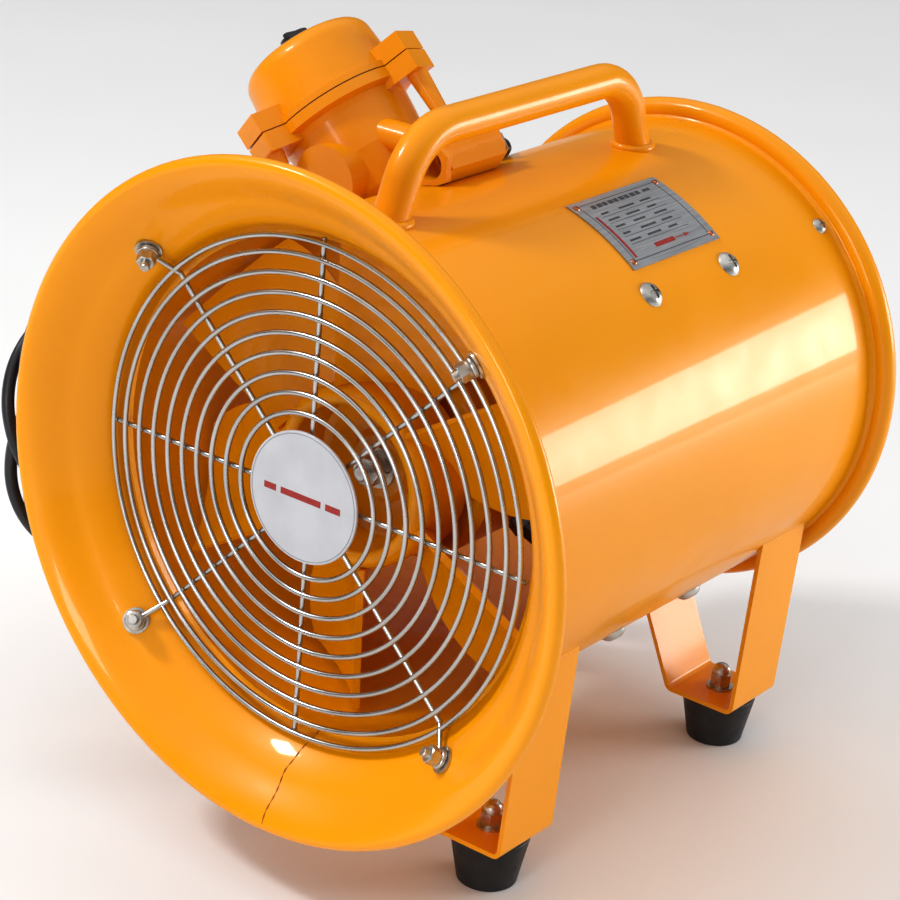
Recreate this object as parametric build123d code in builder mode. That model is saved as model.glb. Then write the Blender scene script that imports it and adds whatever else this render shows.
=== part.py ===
from build123d import *
import os
from math import cos, radians, sin, tan

os.makedirs("parts", exist_ok=True)

# Portable axial ventilation fan with a 300 mm duct. Millimetres, +Z up, +Y with the air flow.
# The origin is on the floor, below the middle of the fan.
# Places along the duct are distances behind the centre plane of the inlet rim (d), angles about
# the fan axis run from +X towards +Z (theta), and radii are taken from the fan axis (r).

# ---------------------------------------------------------------- driving dimensions
DUCT_BORE_R = 150.0
SHEET = 2.0
DUCT_R = DUCT_BORE_R + SHEET
DUCT_LENGTH = 415.0  # rim centre to rim centre
AXIS_HEIGHT = 249.0
CLEARANCE = 0.05  # between touching curved faces

BELL_RIM_R = 203.0
BELL_BEAD_R = 4.5
REAR_BEAD_R = 7.0
REAR_RIM_R = 165.0
BELL_DEPTH = 48.0  # where the bell is welded to the duct

GRILLE_WIRE_R = 1.6
GRILLE_D = 30.0
GRILLE_RINGS = 10
GRILLE_FIRST_R = 49.9
GRILLE_LAST_R = 142.9
GRILLE_OUTER_R = 152.4
DISC_R = 40.0

REAR_GRILLE_D = 408.0
REAR_SCREW_D = 399.5
REAR_SCREW_ANGLES = [47, 137, 227, 317]

BLADES = 6
BLADE_TIP_R = 146.0
HUB_R = 56.0
HUB_FRONT_D = 65.0
SHAFT_R = 7.0
BLADE_PHASE = 22.5  # direction of the first blade's middle

MOTOR_R = 64.0
MOTOR_WALL = 4.0
MOTOR_FRONT_D = 124.0
MOTOR_REAR_D = 296.0
BRACKET_ANGLES = [46.5, 180.0, 313.5]
BRACKET_SCREWS_D = [207.0, 291.0]
BRACKET_START_D = 195.0
BRACKET_END_D = 303.0

HANDLE_TUBE_R = 11.0
HANDLE_MIDDLE_D = 211.0
HANDLE_TOP_HEIGHT = 200.5
HANDLE_KNEE = 103.0
HANDLE_FOOT = 124.0
HANDLE_BEND_R = 40.0

PLATE_D = (206.0, 298.0)
PLATE_THETA = (53.0, 75.0)
PLATE_THICKNESS = 0.8
RIVET_MARGIN_D = 4.5
RIVET_MARGIN_THETA = 1.8

LEG_SHEET = 3.0
LEG_WIDTH = 52.0
LEG_FRONT_D = 114.0
LEG_REAR_D = 370.0
LEG_BASE_INNER_X = 64.5
LEG_BASE_OUTER_X = 117.5
FOOT_X = (LEG_BASE_INNER_X + LEG_BASE_OUTER_X) / 2
FOOT_HEIGHT = 33.0
FOOT_TOP_R = 25.0
FOOT_BOTTOM_R = 18.5

BOX_ANGLE = 136.0
BOX_D = 234.0
BOX_SEAM = 71.0  # height of the lid joint above the duct
BOX_FLANGE_R = 50.0
BOX_TOP = 117.0

CORD_R = 4.0
COIL_R = 116.0
COIL_SECTION_R = 12.0
COIL_TILT = 13.5
COIL_X = -201.0
COIL_D = 135.0
COIL_Z = -28.0  # above the fan axis

# ---------------------------------------------------------------- reference planes
INLET_Y = -(DUCT_LENGTH + REAR_BEAD_R - BELL_BEAD_R) / 2
FAN_X = 8.2  # from the middle of the fan's width to the fan axis, because the box overhangs one side
FAN_AXIS = Axis((0, 0, AXIS_HEIGHT), (0, 1, 0))


def duct_point(d, theta, r):
    """The point at distance d, angle theta and radius r."""
    angle = radians(theta)
    return Vector(r * cos(angle), INLET_Y + d, AXIS_HEIGHT + r * sin(angle))


def profile_plane(theta):
    """A plane through the fan axis: local x is d and local y is r."""
    angle = radians(theta)
    return Plane(
        origin=(0, INLET_Y, AXIS_HEIGHT), x_dir=(0, 1, 0), z_dir=(sin(angle), 0, -cos(angle))
    )


DUCT_PROFILE = profile_plane(90)


def cross_plane(d):
    """A plane across the duct that looks out of the inlet: local x is X and local y is Z."""
    return Plane(origin=(0, INLET_Y + d, AXIS_HEIGHT), x_dir=(1, 0, 0), z_dir=(0, -1, 0))


def radial_plane(d, theta, r):
    """A plane that faces outwards from the fan axis: local x runs along the duct."""
    angle = radians(theta)
    return Plane(
        origin=duct_point(d, theta, r), x_dir=(0, 1, 0), z_dir=(cos(angle), 0, sin(angle))
    )


def side_plane(x, d, z):
    """A horizontal plane at x, d and z measured from the fan axis."""
    return Plane(origin=(x, INLET_Y + d, AXIS_HEIGHT + z), x_dir=(1, 0, 0), z_dir=(0, 0, 1))


def save(name, builder):
    """Moves the finished piece to the frame's origin, labels it and writes its STEP file."""
    piece = builder.part.moved(Location((FAN_X, 0, 0)))
    piece.label = name
    export_step(piece, f"parts/{name}.step")


# ---------------------------------------------------------------- fastener shapes, standing on z = 0
def pan_screw(head_r, head_height, shank_r, length):
    """A domed cross-recess screw whose shank hangs below z = 0."""
    with BuildPart() as screw:
        with BuildSketch(Plane.XZ):
            with BuildLine():
                Polyline((0, -length), (shank_r, -length), (shank_r, 0), (head_r, 0))
                ThreePointArc(
                    (head_r, 0), (head_r * 0.74, head_height * 0.7), (0, head_height)
                )
                Line((0, head_height), (0, -length))
            make_face()
        revolve(axis=Axis.Z)
        with BuildSketch(Plane.XY.offset(head_height * 0.45)):
            Rectangle(head_r * 1.1, head_r * 0.22)
            Rectangle(head_r * 0.22, head_r * 1.1)
        extrude(amount=head_height, mode=Mode.SUBTRACT)
    return screw.part


def hex_bolt(flat_to_flat, head_height, shank_r, length):
    """A bolt with its head below z = 0 and its shank above."""
    with BuildPart() as bolt:
        with BuildSketch(Plane.XY.offset(-head_height)):
            RegularPolygon(flat_to_flat / 2, 6, major_radius=False)
        extrude(amount=head_height)
        with BuildSketch():
            Circle(shank_r)
        extrude(amount=length)
        chamfer(bolt.faces().sort_by(Axis.Z)[-1].edges(), shank_r * 0.15)
    return bolt.part


def hex_nut(flat_to_flat, height, bore_r):
    """A plain nut whose upper corners are turned off."""
    with BuildPart() as nut:
        with BuildSketch():
            RegularPolygon(flat_to_flat / 2, 6, major_radius=False)
            Circle(bore_r, mode=Mode.SUBTRACT)
        extrude(amount=height)
        with BuildSketch(Plane.XZ):
            with BuildLine():
                Polyline(
                    (0, 0), (flat_to_flat / 2 * 1.16, 0), (flat_to_flat / 2 * 1.16, height * 0.86),
                    (flat_to_flat / 2 * 0.94, height), (0, height), close=True,
                )
            make_face()
        revolve(axis=Axis.Z, mode=Mode.INTERSECT)
    return nut.part


def washer(outer_r, bore_r, thickness, base=0.0, split=0.0):
    """A washer that starts at z = base, with a slit if it is a spring washer."""
    with BuildPart() as ring:
        with BuildSketch(Plane.XY.offset(base)):
            Circle(outer_r)
            Circle(bore_r, mode=Mode.SUBTRACT)
            if split:
                with Locations((outer_r, 0)):
                    Rectangle(outer_r, split, mode=Mode.SUBTRACT)
        extrude(amount=thickness)
    return ring.part


# ---------------------------------------------------------------- duct housing
def box_plane(height):
    """A plane across the junction box: local x runs rearwards, local y outboard and down."""
    return radial_plane(BOX_D, BOX_ANGLE, DUCT_R + height)


NIPPLE_R = 12.0
NIPPLE_BORE_R = 9.0
bracket_seats = [
    radial_plane(d, theta, DUCT_R) for theta in BRACKET_ANGLES for d in BRACKET_SCREWS_D
]
rear_screw_seats = [radial_plane(REAR_SCREW_D, theta, DUCT_R) for theta in REAR_SCREW_ANGLES]
rivet_seats = [
    radial_plane(d, theta, DUCT_R + CLEARANCE + PLATE_THICKNESS)
    for d in (PLATE_D[0] + RIVET_MARGIN_D, PLATE_D[1] - RIVET_MARGIN_D)
    for theta in (PLATE_THETA[0] + RIVET_MARGIN_THETA, PLATE_THETA[1] - RIVET_MARGIN_THETA)
]
BRACKET_HOLE_R = 3.2
REAR_HOLE_R = 2.2
RIVET_HOLE_R = 1.3

with BuildPart() as duct_housing:
    with BuildSketch(DUCT_PROFILE):
        with BuildLine():
            Polyline(
                (BELL_DEPTH, DUCT_BORE_R), (DUCT_LENGTH, DUCT_BORE_R),
                (DUCT_LENGTH, REAR_RIM_R - REAR_BEAD_R), (409.0, 155.0),
            )
            ThreePointArc((409.0, 155.0), (407.8, 152.9), (405.5, DUCT_R))
            Polyline((405.5, DUCT_R), (BELL_DEPTH, DUCT_R), (BELL_DEPTH, DUCT_BORE_R))
        make_face()
        with Locations((DUCT_LENGTH, REAR_RIM_R - REAR_BEAD_R)):
            Circle(REAR_BEAD_R)
    revolve(axis=FAN_AXIS)
    with Locations(*bracket_seats):
        Cylinder(BRACKET_HOLE_R, 12, mode=Mode.SUBTRACT)
    with Locations(*rear_screw_seats):
        Cylinder(REAR_HOLE_R, 12, mode=Mode.SUBTRACT)
    with Locations(*rivet_seats):
        Cylinder(RIVET_HOLE_R, 8, mode=Mode.SUBTRACT)
    with Locations(box_plane(0)):
        Cylinder(NIPPLE_R + CLEARANCE, 20, mode=Mode.SUBTRACT)
save("duct_housing", duct_housing)

# ---------------------------------------------------------------- inlet bell
FLARE_THROAT = (42.5, 152.5)
FLARE_MIDDLE = (20.05, 168.75)
FLARE_CREASE = (5.0, 192.0)
# Unit normal of the flare at its middle, towards the inside of the bell.
FLARE_NORMAL_D = -0.725
FLARE_NORMAL_R = -0.689
BELL_BOLT_ANGLES = [45, 135, 225, 315]
BELL_BOLT_R = 3.0


def bell_bolt_plane(theta):
    """Stands on the inside of the flare at a grille bolt and faces the fan axis."""
    angle = radians(theta)
    return Plane(
        origin=duct_point(FLARE_MIDDLE[0], theta, FLARE_MIDDLE[1]),
        x_dir=(-sin(angle), 0, cos(angle)),
        z_dir=(FLARE_NORMAL_R * cos(angle), FLARE_NORMAL_D, FLARE_NORMAL_R * sin(angle)),
    )


bell_bolt_planes = [bell_bolt_plane(theta) for theta in BELL_BOLT_ANGLES]

with BuildPart() as inlet_bell:
    with BuildSketch(DUCT_PROFILE):
        with BuildLine():
            Polyline((BELL_DEPTH, DUCT_BORE_R), (44.0, DUCT_BORE_R), FLARE_THROAT)
            ThreePointArc(FLARE_THROAT, FLARE_MIDDLE, FLARE_CREASE)
            Polyline(
                FLARE_CREASE, (2.6, 194.8), (0.0, BELL_RIM_R - BELL_BEAD_R), (4.2, 197.0), (6.6, 193.6)
            )
            ThreePointArc((6.6, 193.6), (21.5, 170.13), (44.3, 153.7))
            Polyline((44.3, 153.7), (45.4, DUCT_R), (BELL_DEPTH, DUCT_R), (BELL_DEPTH, DUCT_BORE_R))
        make_face()
        with Locations((0, BELL_RIM_R - BELL_BEAD_R)):
            Circle(BELL_BEAD_R)
    revolve(axis=FAN_AXIS)
    with Locations(*bell_bolt_planes):
        Cylinder(BELL_BOLT_R + 0.2, 12, mode=Mode.SUBTRACT)
save("inlet_bell", inlet_bell)

# ---------------------------------------------------------------- front grille
ring_step = (GRILLE_LAST_R - GRILLE_FIRST_R) / (GRILLE_RINGS - 2)
ring_radii = [GRILLE_FIRST_R + ring_step * i for i in range(GRILLE_RINGS - 1)]
HIDDEN_RING_R = 28.0
SPOKE_D = GRILLE_D + 2.75  # the spokes lie behind the rings and are welded to them
SPOKE_INNER_R = 12.0
SPOKE_OUTER_R = 155.0
HOOK_START_R = 149.0
EYE_R = BELL_BOLT_R + 0.15 + GRILLE_WIRE_R
EYE_HEIGHT = 1.65 + GRILLE_WIRE_R  # above the flare, on top of the flat washer

with BuildPart() as front_grille:
    with Locations(cross_plane(GRILLE_D)):
        for ring_r in [HIDDEN_RING_R, *ring_radii, GRILLE_OUTER_R]:
            Torus(ring_r, GRILLE_WIRE_R)
    with Locations(cross_plane(SPOKE_D)):
        with PolarLocations((SPOKE_INNER_R + SPOKE_OUTER_R) / 2, 4):
            Cylinder(GRILLE_WIRE_R, SPOKE_OUTER_R - SPOKE_INNER_R, rotation=(0, 90, 0))
        with PolarLocations((SPOKE_INNER_R + HOOK_START_R) / 2, 4, start_angle=45):
            Cylinder(GRILLE_WIRE_R, HOOK_START_R - SPOKE_INNER_R, rotation=(0, 90, 0))
    for theta, seat in zip(BELL_BOLT_ANGLES, bell_bolt_planes):
        hook_start = duct_point(SPOKE_D, theta, HOOK_START_R)
        eye_near = (
            seat.origin + seat.z_dir * EYE_HEIGHT
            + (duct_point(0, theta, FLARE_NORMAL_D) - duct_point(0, theta, 0)) * EYE_R
            + Vector(0, -FLARE_NORMAL_R, 0) * EYE_R
        )
        with BuildLine():
            link = Line(hook_start, eye_near)
        with BuildSketch(Plane(origin=hook_start, z_dir=link % 0)):
            Circle(GRILLE_WIRE_R)
        sweep(path=link)
        with Locations(hook_start, eye_near):
            Sphere(GRILLE_WIRE_R)
        with Locations(seat.offset(EYE_HEIGHT)):
            Torus(EYE_R, GRILLE_WIRE_R)
save("front_grille", front_grille)

DISC_THICKNESS = 1.4
with BuildPart() as grille_disc:
    with BuildSketch(cross_plane(GRILLE_D - GRILLE_WIRE_R)):
        Circle(DISC_R)
    extrude(amount=DISC_THICKNESS)
    fillet(grille_disc.faces().sort_by(Axis.Y)[0].edges(), 0.6)
save("grille_disc", grille_disc)

WASHER_BASE = 0.15
SPRING_WASHER_BASE = EYE_HEIGHT + GRILLE_WIRE_R + CLEARANCE
BELL_NUT_BASE = SPRING_WASHER_BASE + 1.5
with BuildPart() as grille_bolts:
    with Locations(*[seat.offset(-SHEET - 0.3) for seat in bell_bolt_planes]):
        add(hex_bolt(10, 4, BELL_BOLT_R, 17.5))
save("grille_bolts", grille_bolts)

with BuildPart() as grille_washers:
    with Locations(*bell_bolt_planes):
        add(washer(8, BELL_BOLT_R + 0.1, 1.5, WASHER_BASE))
        add(washer(5.4, BELL_BOLT_R + 0.1, 1.5, SPRING_WASHER_BASE, split=0.8))
save("grille_washers", grille_washers)

with BuildPart() as grille_nuts:
    with Locations(*[seat.offset(BELL_NUT_BASE) for seat in bell_bolt_planes]):
        add(hex_nut(10, 5, BELL_BOLT_R + 0.02))
save("grille_nuts", grille_nuts)

# ---------------------------------------------------------------- rear grille
REAR_WIRE_R = 1.5
REAR_RINGS = 9
REAR_OUTER_R = 146.2
REAR_INNER_R = 28.0
REAR_SPOKE_D = REAR_GRILLE_D - 2.6
TAB_R = 147.4  # inner face of each fixing tab
TAB_THICKNESS = 1.5
TAB_SIZE = (14.0, 13.0)  # along the duct and across it
rear_ring_step = (REAR_OUTER_R - REAR_INNER_R) / (REAR_RINGS - 1)

with BuildPart() as rear_grille:
    with Locations(cross_plane(REAR_GRILLE_D)):
        for i in range(REAR_RINGS):
            Torus(REAR_INNER_R + rear_ring_step * i, REAR_WIRE_R)
    with Locations(cross_plane(REAR_SPOKE_D)):
        with PolarLocations(REAR_OUTER_R / 2 + 5, 8, start_angle=24.5):
            Cylinder(REAR_WIRE_R, REAR_OUTER_R - 10, rotation=(0, 90, 0))
    for theta in REAR_SCREW_ANGLES:
        with BuildSketch(radial_plane(REAR_SCREW_D + 0.5, theta, TAB_R - 0.3)):
            Rectangle(*TAB_SIZE)
        extrude(amount=TAB_THICKNESS)
    with Locations(*rear_screw_seats):
        Cylinder(REAR_HOLE_R, 24, mode=Mode.SUBTRACT)
save("rear_grille", rear_grille)

with BuildPart() as rear_grille_screws:
    with Locations(*rear_screw_seats):
        add(pan_screw(5.75, 2.6, 2.0, 11))
save("rear_grille_screws", rear_grille_screws)

REAR_NUT_HEIGHT = 3.2
with BuildPart() as rear_grille_nuts:
    for theta in REAR_SCREW_ANGLES:
        with Locations(radial_plane(REAR_SCREW_D, theta, TAB_R - 0.3 - REAR_NUT_HEIGHT)):
            add(hex_nut(7, REAR_NUT_HEIGHT, 2.02))
save("rear_grille_nuts", rear_grille_nuts)

# ---------------------------------------------------------------- motor
BEARING_R = 17.0
BEARING_WIDTH = 10.0
GLAND_THETA = -35.0
GLAND_D = 172.0
GLAND_HOLE_R = 6.0
with BuildPart() as motor_shell:
    with BuildSketch(DUCT_PROFILE):
        with Locations(((MOTOR_FRONT_D + MOTOR_REAR_D) / 2, MOTOR_R - MOTOR_WALL / 2)):
            Rectangle(MOTOR_REAR_D - MOTOR_FRONT_D, MOTOR_WALL)
    revolve(axis=FAN_AXIS)
    with Locations(radial_plane(GLAND_D, GLAND_THETA, MOTOR_R)):
        Cylinder(GLAND_HOLE_R, 16, mode=Mode.SUBTRACT)
save("motor_shell", motor_shell)

COVER_PLATE = 6.0
COVER_BOSS_R = 22.0
COVER_EDGE = 4.0  # chamfer round the rim of a cover
FRONT_BEARING_D = 114.0
REAR_BEARING_D = 297.0
END_CAP = 3.0
SEAL_GAP = 0.6
COVER_SCREW_R = 54.0
with BuildPart() as motor_front_cover:
    plate_d = MOTOR_FRONT_D - COVER_PLATE
    with BuildSketch(DUCT_PROFILE):
        with BuildLine():
            Polyline(
                (MOTOR_FRONT_D, BEARING_R), (FRONT_BEARING_D, BEARING_R),
                (FRONT_BEARING_D, SHAFT_R + SEAL_GAP), (FRONT_BEARING_D - 1, SHAFT_R + SEAL_GAP),
                (FRONT_BEARING_D - 1, COVER_BOSS_R - 1), (plate_d, COVER_BOSS_R),
                (plate_d, MOTOR_R - COVER_EDGE), (plate_d + COVER_EDGE, MOTOR_R),
                (MOTOR_FRONT_D, MOTOR_R), close=True,
            )
        make_face()
    revolve(axis=FAN_AXIS)
save("motor_front_cover", motor_front_cover)

REAR_COVER_D = MOTOR_REAR_D + COVER_PLATE
SHAFT_END_D = 306.5
CAP_INNER_D = SHAFT_END_D + 2.5
with BuildPart() as motor_rear_cover:
    with BuildSketch(DUCT_PROFILE):
        with BuildLine():
            Polyline(
                (MOTOR_REAR_D, MOTOR_R), (REAR_COVER_D - COVER_EDGE, MOTOR_R),
                (REAR_COVER_D, MOTOR_R - COVER_EDGE), (REAR_COVER_D, COVER_BOSS_R),
                (CAP_INNER_D + END_CAP, COVER_BOSS_R - 3), (CAP_INNER_D + END_CAP, 0),
                (CAP_INNER_D, 0), (CAP_INNER_D, BEARING_R), (MOTOR_REAR_D, BEARING_R), close=True,
            )
        make_face()
    revolve(axis=FAN_AXIS)
    with Locations(cross_plane(MOTOR_REAR_D)):
        with PolarLocations(COVER_SCREW_R, 4, start_angle=45):
            Cylinder(2.6, 30, mode=Mode.SUBTRACT)
save("motor_rear_cover", motor_rear_cover)

with BuildPart() as motor_cover_screws:
    with Locations(cross_plane(REAR_COVER_D).rotated((180, 0, 0))):
        with PolarLocations(COVER_SCREW_R, 4, start_angle=45):
            add(pan_screw(5, 3, 2.5, 18))
save("motor_cover_screws", motor_cover_screws)

with BuildPart() as motor_bearings:
    with BuildSketch(DUCT_PROFILE):
        for start_d in (FRONT_BEARING_D, REAR_BEARING_D):
            with Locations((start_d + BEARING_WIDTH / 2, (SHAFT_R + CLEARANCE + BEARING_R) / 2)):
                Rectangle(BEARING_WIDTH, BEARING_R - SHAFT_R - CLEARANCE)
    revolve(axis=FAN_AXIS)
save("motor_bearings", motor_bearings)

ROTOR_CORE_R = 36.0
ROTOR_CORE_D = (160.0, 260.0)
STATOR_D = (165.0, 255.0)
AIR_GAP = 0.6
with BuildPart() as rotor_core:
    with BuildSketch(DUCT_PROFILE):
        with Locations((sum(ROTOR_CORE_D) / 2, (SHAFT_R + ROTOR_CORE_R) / 2)):
            Rectangle(ROTOR_CORE_D[1] - ROTOR_CORE_D[0], ROTOR_CORE_R - SHAFT_R)
    revolve(axis=FAN_AXIS)
save("rotor_core", rotor_core)

with BuildPart() as stator_core:
    with BuildSketch(DUCT_PROFILE):
        stator_inner_r = ROTOR_CORE_R + AIR_GAP
        with Locations((sum(STATOR_D) / 2, (stator_inner_r + MOTOR_R - MOTOR_WALL) / 2)):
            Rectangle(STATOR_D[1] - STATOR_D[0], MOTOR_R - MOTOR_WALL - stator_inner_r)
    revolve(axis=FAN_AXIS)
save("stator_core", stator_core)

WINDING_LENGTH = 18.0
with BuildPart() as stator_windings:
    with BuildSketch(DUCT_PROFILE):
        for edge_d, side in ((STATOR_D[0], -1), (STATOR_D[1], 1)):
            with Locations((edge_d + side * WINDING_LENGTH / 2, 48)):
                RectangleRounded(WINDING_LENGTH, 15, 5)
    revolve(axis=FAN_AXIS)
save("stator_windings", stator_windings)

# Each motor bracket is an L: a flange along the duct wall, and a web to the motor.
FLANGE_WIDTH = 24.0
BRACKET_SHEET = 3.0
FLANGE_INNER_R = 146.4
bracket_length = BRACKET_END_D - BRACKET_START_D
bracket_middle_d = (BRACKET_START_D + BRACKET_END_D) / 2
with BuildPart() as motor_brackets:
    for theta in BRACKET_ANGLES:
        with BuildSketch(radial_plane(bracket_middle_d, theta, FLANGE_INNER_R)):
            Rectangle(bracket_length, FLANGE_WIDTH)
        extrude(amount=6)
        with BuildSketch(radial_plane(bracket_middle_d, theta, MOTOR_R - 4)):
            with Locations((0, (FLANGE_WIDTH - BRACKET_SHEET) / 2)):
                Rectangle(bracket_length, BRACKET_SHEET)
        extrude(amount=FLANGE_INNER_R + 1 - MOTOR_R + 4)
    with BuildSketch(cross_plane(0)):
        Circle(DUCT_BORE_R - CLEARANCE)
        Circle(MOTOR_R + CLEARANCE, mode=Mode.SUBTRACT)
    extrude(amount=-DUCT_LENGTH, mode=Mode.INTERSECT)
    with Locations(*bracket_seats):
        Cylinder(BRACKET_HOLE_R, 30, mode=Mode.SUBTRACT)
save("motor_brackets", motor_brackets)

with BuildPart() as motor_bracket_screws:
    with Locations(*bracket_seats):
        add(pan_screw(8.25, 3.6, 3.0, 14))
save("motor_bracket_screws", motor_bracket_screws)

BRACKET_NUT_HEIGHT = 5.0
with BuildPart() as motor_bracket_nuts:
    for theta in BRACKET_ANGLES:
        for d in BRACKET_SCREWS_D:
            with Locations(radial_plane(d, theta, FLANGE_INNER_R - BRACKET_NUT_HEIGHT)):
                add(hex_nut(10, BRACKET_NUT_HEIGHT, 3.02))
save("motor_bracket_nuts", motor_bracket_nuts)

# ---------------------------------------------------------------- rotor: shaft, hub and blades
STUD_R = 5.0
STUD_START_D = 78.0
SHOULDER_D = 100.0
with BuildPart() as motor_shaft:
    with BuildSketch(DUCT_PROFILE):
        with BuildLine():
            Polyline(
                (STUD_START_D, 0), (STUD_START_D, STUD_R - 1), (STUD_START_D + 1, STUD_R),
                (SHOULDER_D, STUD_R), (SHOULDER_D, SHAFT_R), (SHAFT_END_D, SHAFT_R),
                (SHAFT_END_D, 0), close=True,
            )
        make_face()
    revolve(axis=FAN_AXIS)
save("motor_shaft", motor_shaft)

HUB_REAR_D = 108.0
HUB_RIM_R = 52.5
HUB_CUP_R = 43.5
HUB_FACE_D = 95.0
with BuildPart() as impeller_hub:
    with BuildSketch(DUCT_PROFILE):
        with BuildLine():
            Polyline(
                (SHOULDER_D, STUD_R + 0.02), (HUB_FACE_D, STUD_R + 0.02), (HUB_FACE_D, 19),
                (99, 23), (99, HUB_CUP_R - 4), (96, HUB_CUP_R), (HUB_FRONT_D + 3, HUB_CUP_R + 1),
            )
            ThreePointArc(
                (HUB_FRONT_D + 3, HUB_CUP_R + 1), (HUB_FRONT_D, 48.6), (HUB_FRONT_D + 2.2, HUB_RIM_R)
            )
            ThreePointArc(
                (HUB_FRONT_D + 2.2, HUB_RIM_R), (HUB_FRONT_D + 5.6, 55.0), (HUB_FRONT_D + 11, HUB_R)
            )
            Polyline(
                (HUB_FRONT_D + 11, HUB_R), (HUB_REAR_D, HUB_R), (HUB_REAR_D, 50), (104.5, 49),
                (104.5, 24), (112, 21), (112, SHAFT_R + 0.02), (SHOULDER_D, SHAFT_R + 0.02),
                (SHOULDER_D, STUD_R + 0.02),
            )
        make_face()
    revolve(axis=FAN_AXIS)
save("impeller_hub", impeller_hub)

# A blade is lofted through three cambered sections. Each section gives its height above the fan
# axis and, for the leading and the trailing edge, the place across the blade and d.
BLADE_THICKNESS = 4.5
blade_sections = [
    (50.0, (21.0, 67.0), (-21.0, 106.0), 7.0),
    (100.0, (29.0, 67.5), (-44.0, 111.0), 10.0),
    (150.0, (37.0, 68.5), (-29.0, 111.5), 7.0),
]


def blade_plane(height, theta):
    """Stands across a blade: local x is towards growing theta and local y is towards the inlet."""
    angle = radians(theta)
    return Plane(
        origin=duct_point(0, theta, height),
        x_dir=(-sin(angle), 0, cos(angle)),
        z_dir=(cos(angle), 0, sin(angle)),
    )


blade_parts = []
for i in range(BLADES):
    theta = BLADE_PHASE + i * 360 / BLADES
    with BuildPart() as blade:
        for height, lead, trail, camber in blade_sections:
            with BuildSketch(blade_plane(height, theta)):
                front = Vector(lead[0], -lead[1])
                back = Vector(trail[0], -trail[1])
                across = (back - front).normalized().rotate(Axis.Z, 90)
                middle = (front + back) * 0.5 + across * camber
                half = across * (BLADE_THICKNESS / 2)
                with BuildLine():
                    ThreePointArc(front + half, middle + half, back + half * 0.5)
                    Line(back + half * 0.5, back - half * 0.5)
                    ThreePointArc(back - half * 0.5, middle - half, front - half)
                    Line(front - half, front + half)
                make_face()
        loft()
        with BuildSketch(cross_plane(0)):
            Circle(BLADE_TIP_R)
            Circle(HUB_R + CLEARANCE, mode=Mode.SUBTRACT)
        extrude(amount=-200, mode=Mode.INTERSECT)
    blade_parts.append(blade.part)
with BuildPart() as impeller_blades:
    for piece in blade_parts:
        add(piece)
save("impeller_blades", impeller_blades)

facing_inlet = cross_plane(HUB_FACE_D)
with BuildPart() as hub_washers:
    with Locations(facing_inlet):
        add(washer(13, STUD_R + 0.02, 2.0))
        add(washer(9.8, STUD_R + 0.02, 2.2, 2.0, split=1.2))
save("hub_washers", hub_washers)

with BuildPart() as hub_nut:
    with Locations(facing_inlet.offset(4.2)):
        add(hex_nut(17, 9, STUD_R + 0.02))
save("hub_nut", hub_nut)

# ---------------------------------------------------------------- carry handle
with BuildPart() as carry_handle:
    with BuildLine():
        handle_path = FilletPolyline(
            duct_point(HANDLE_MIDDLE_D - HANDLE_FOOT, 90, DUCT_R - 6),
            duct_point(HANDLE_MIDDLE_D - HANDLE_KNEE, 90, HANDLE_TOP_HEIGHT),
            duct_point(HANDLE_MIDDLE_D + HANDLE_KNEE, 90, HANDLE_TOP_HEIGHT),
            duct_point(HANDLE_MIDDLE_D + HANDLE_FOOT, 90, DUCT_R - 6),
            radius=HANDLE_BEND_R,
        )
    with BuildSketch(Plane(origin=handle_path @ 0, z_dir=handle_path % 0)):
        Circle(HANDLE_TUBE_R)
    sweep(path=handle_path)
    for side in (-1, 1):
        weld_d = HANDLE_MIDDLE_D + side * (HANDLE_FOOT - 2.5)
        with Locations(radial_plane(weld_d, 90, DUCT_R + 0.4)):
            Torus(HANDLE_TUBE_R + 0.6, 2.8)
    with BuildSketch(cross_plane(0)):
        Circle(DUCT_R + 0.02)
    extrude(amount=-DUCT_LENGTH, mode=Mode.SUBTRACT)
save("carry_handle", carry_handle)

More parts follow.
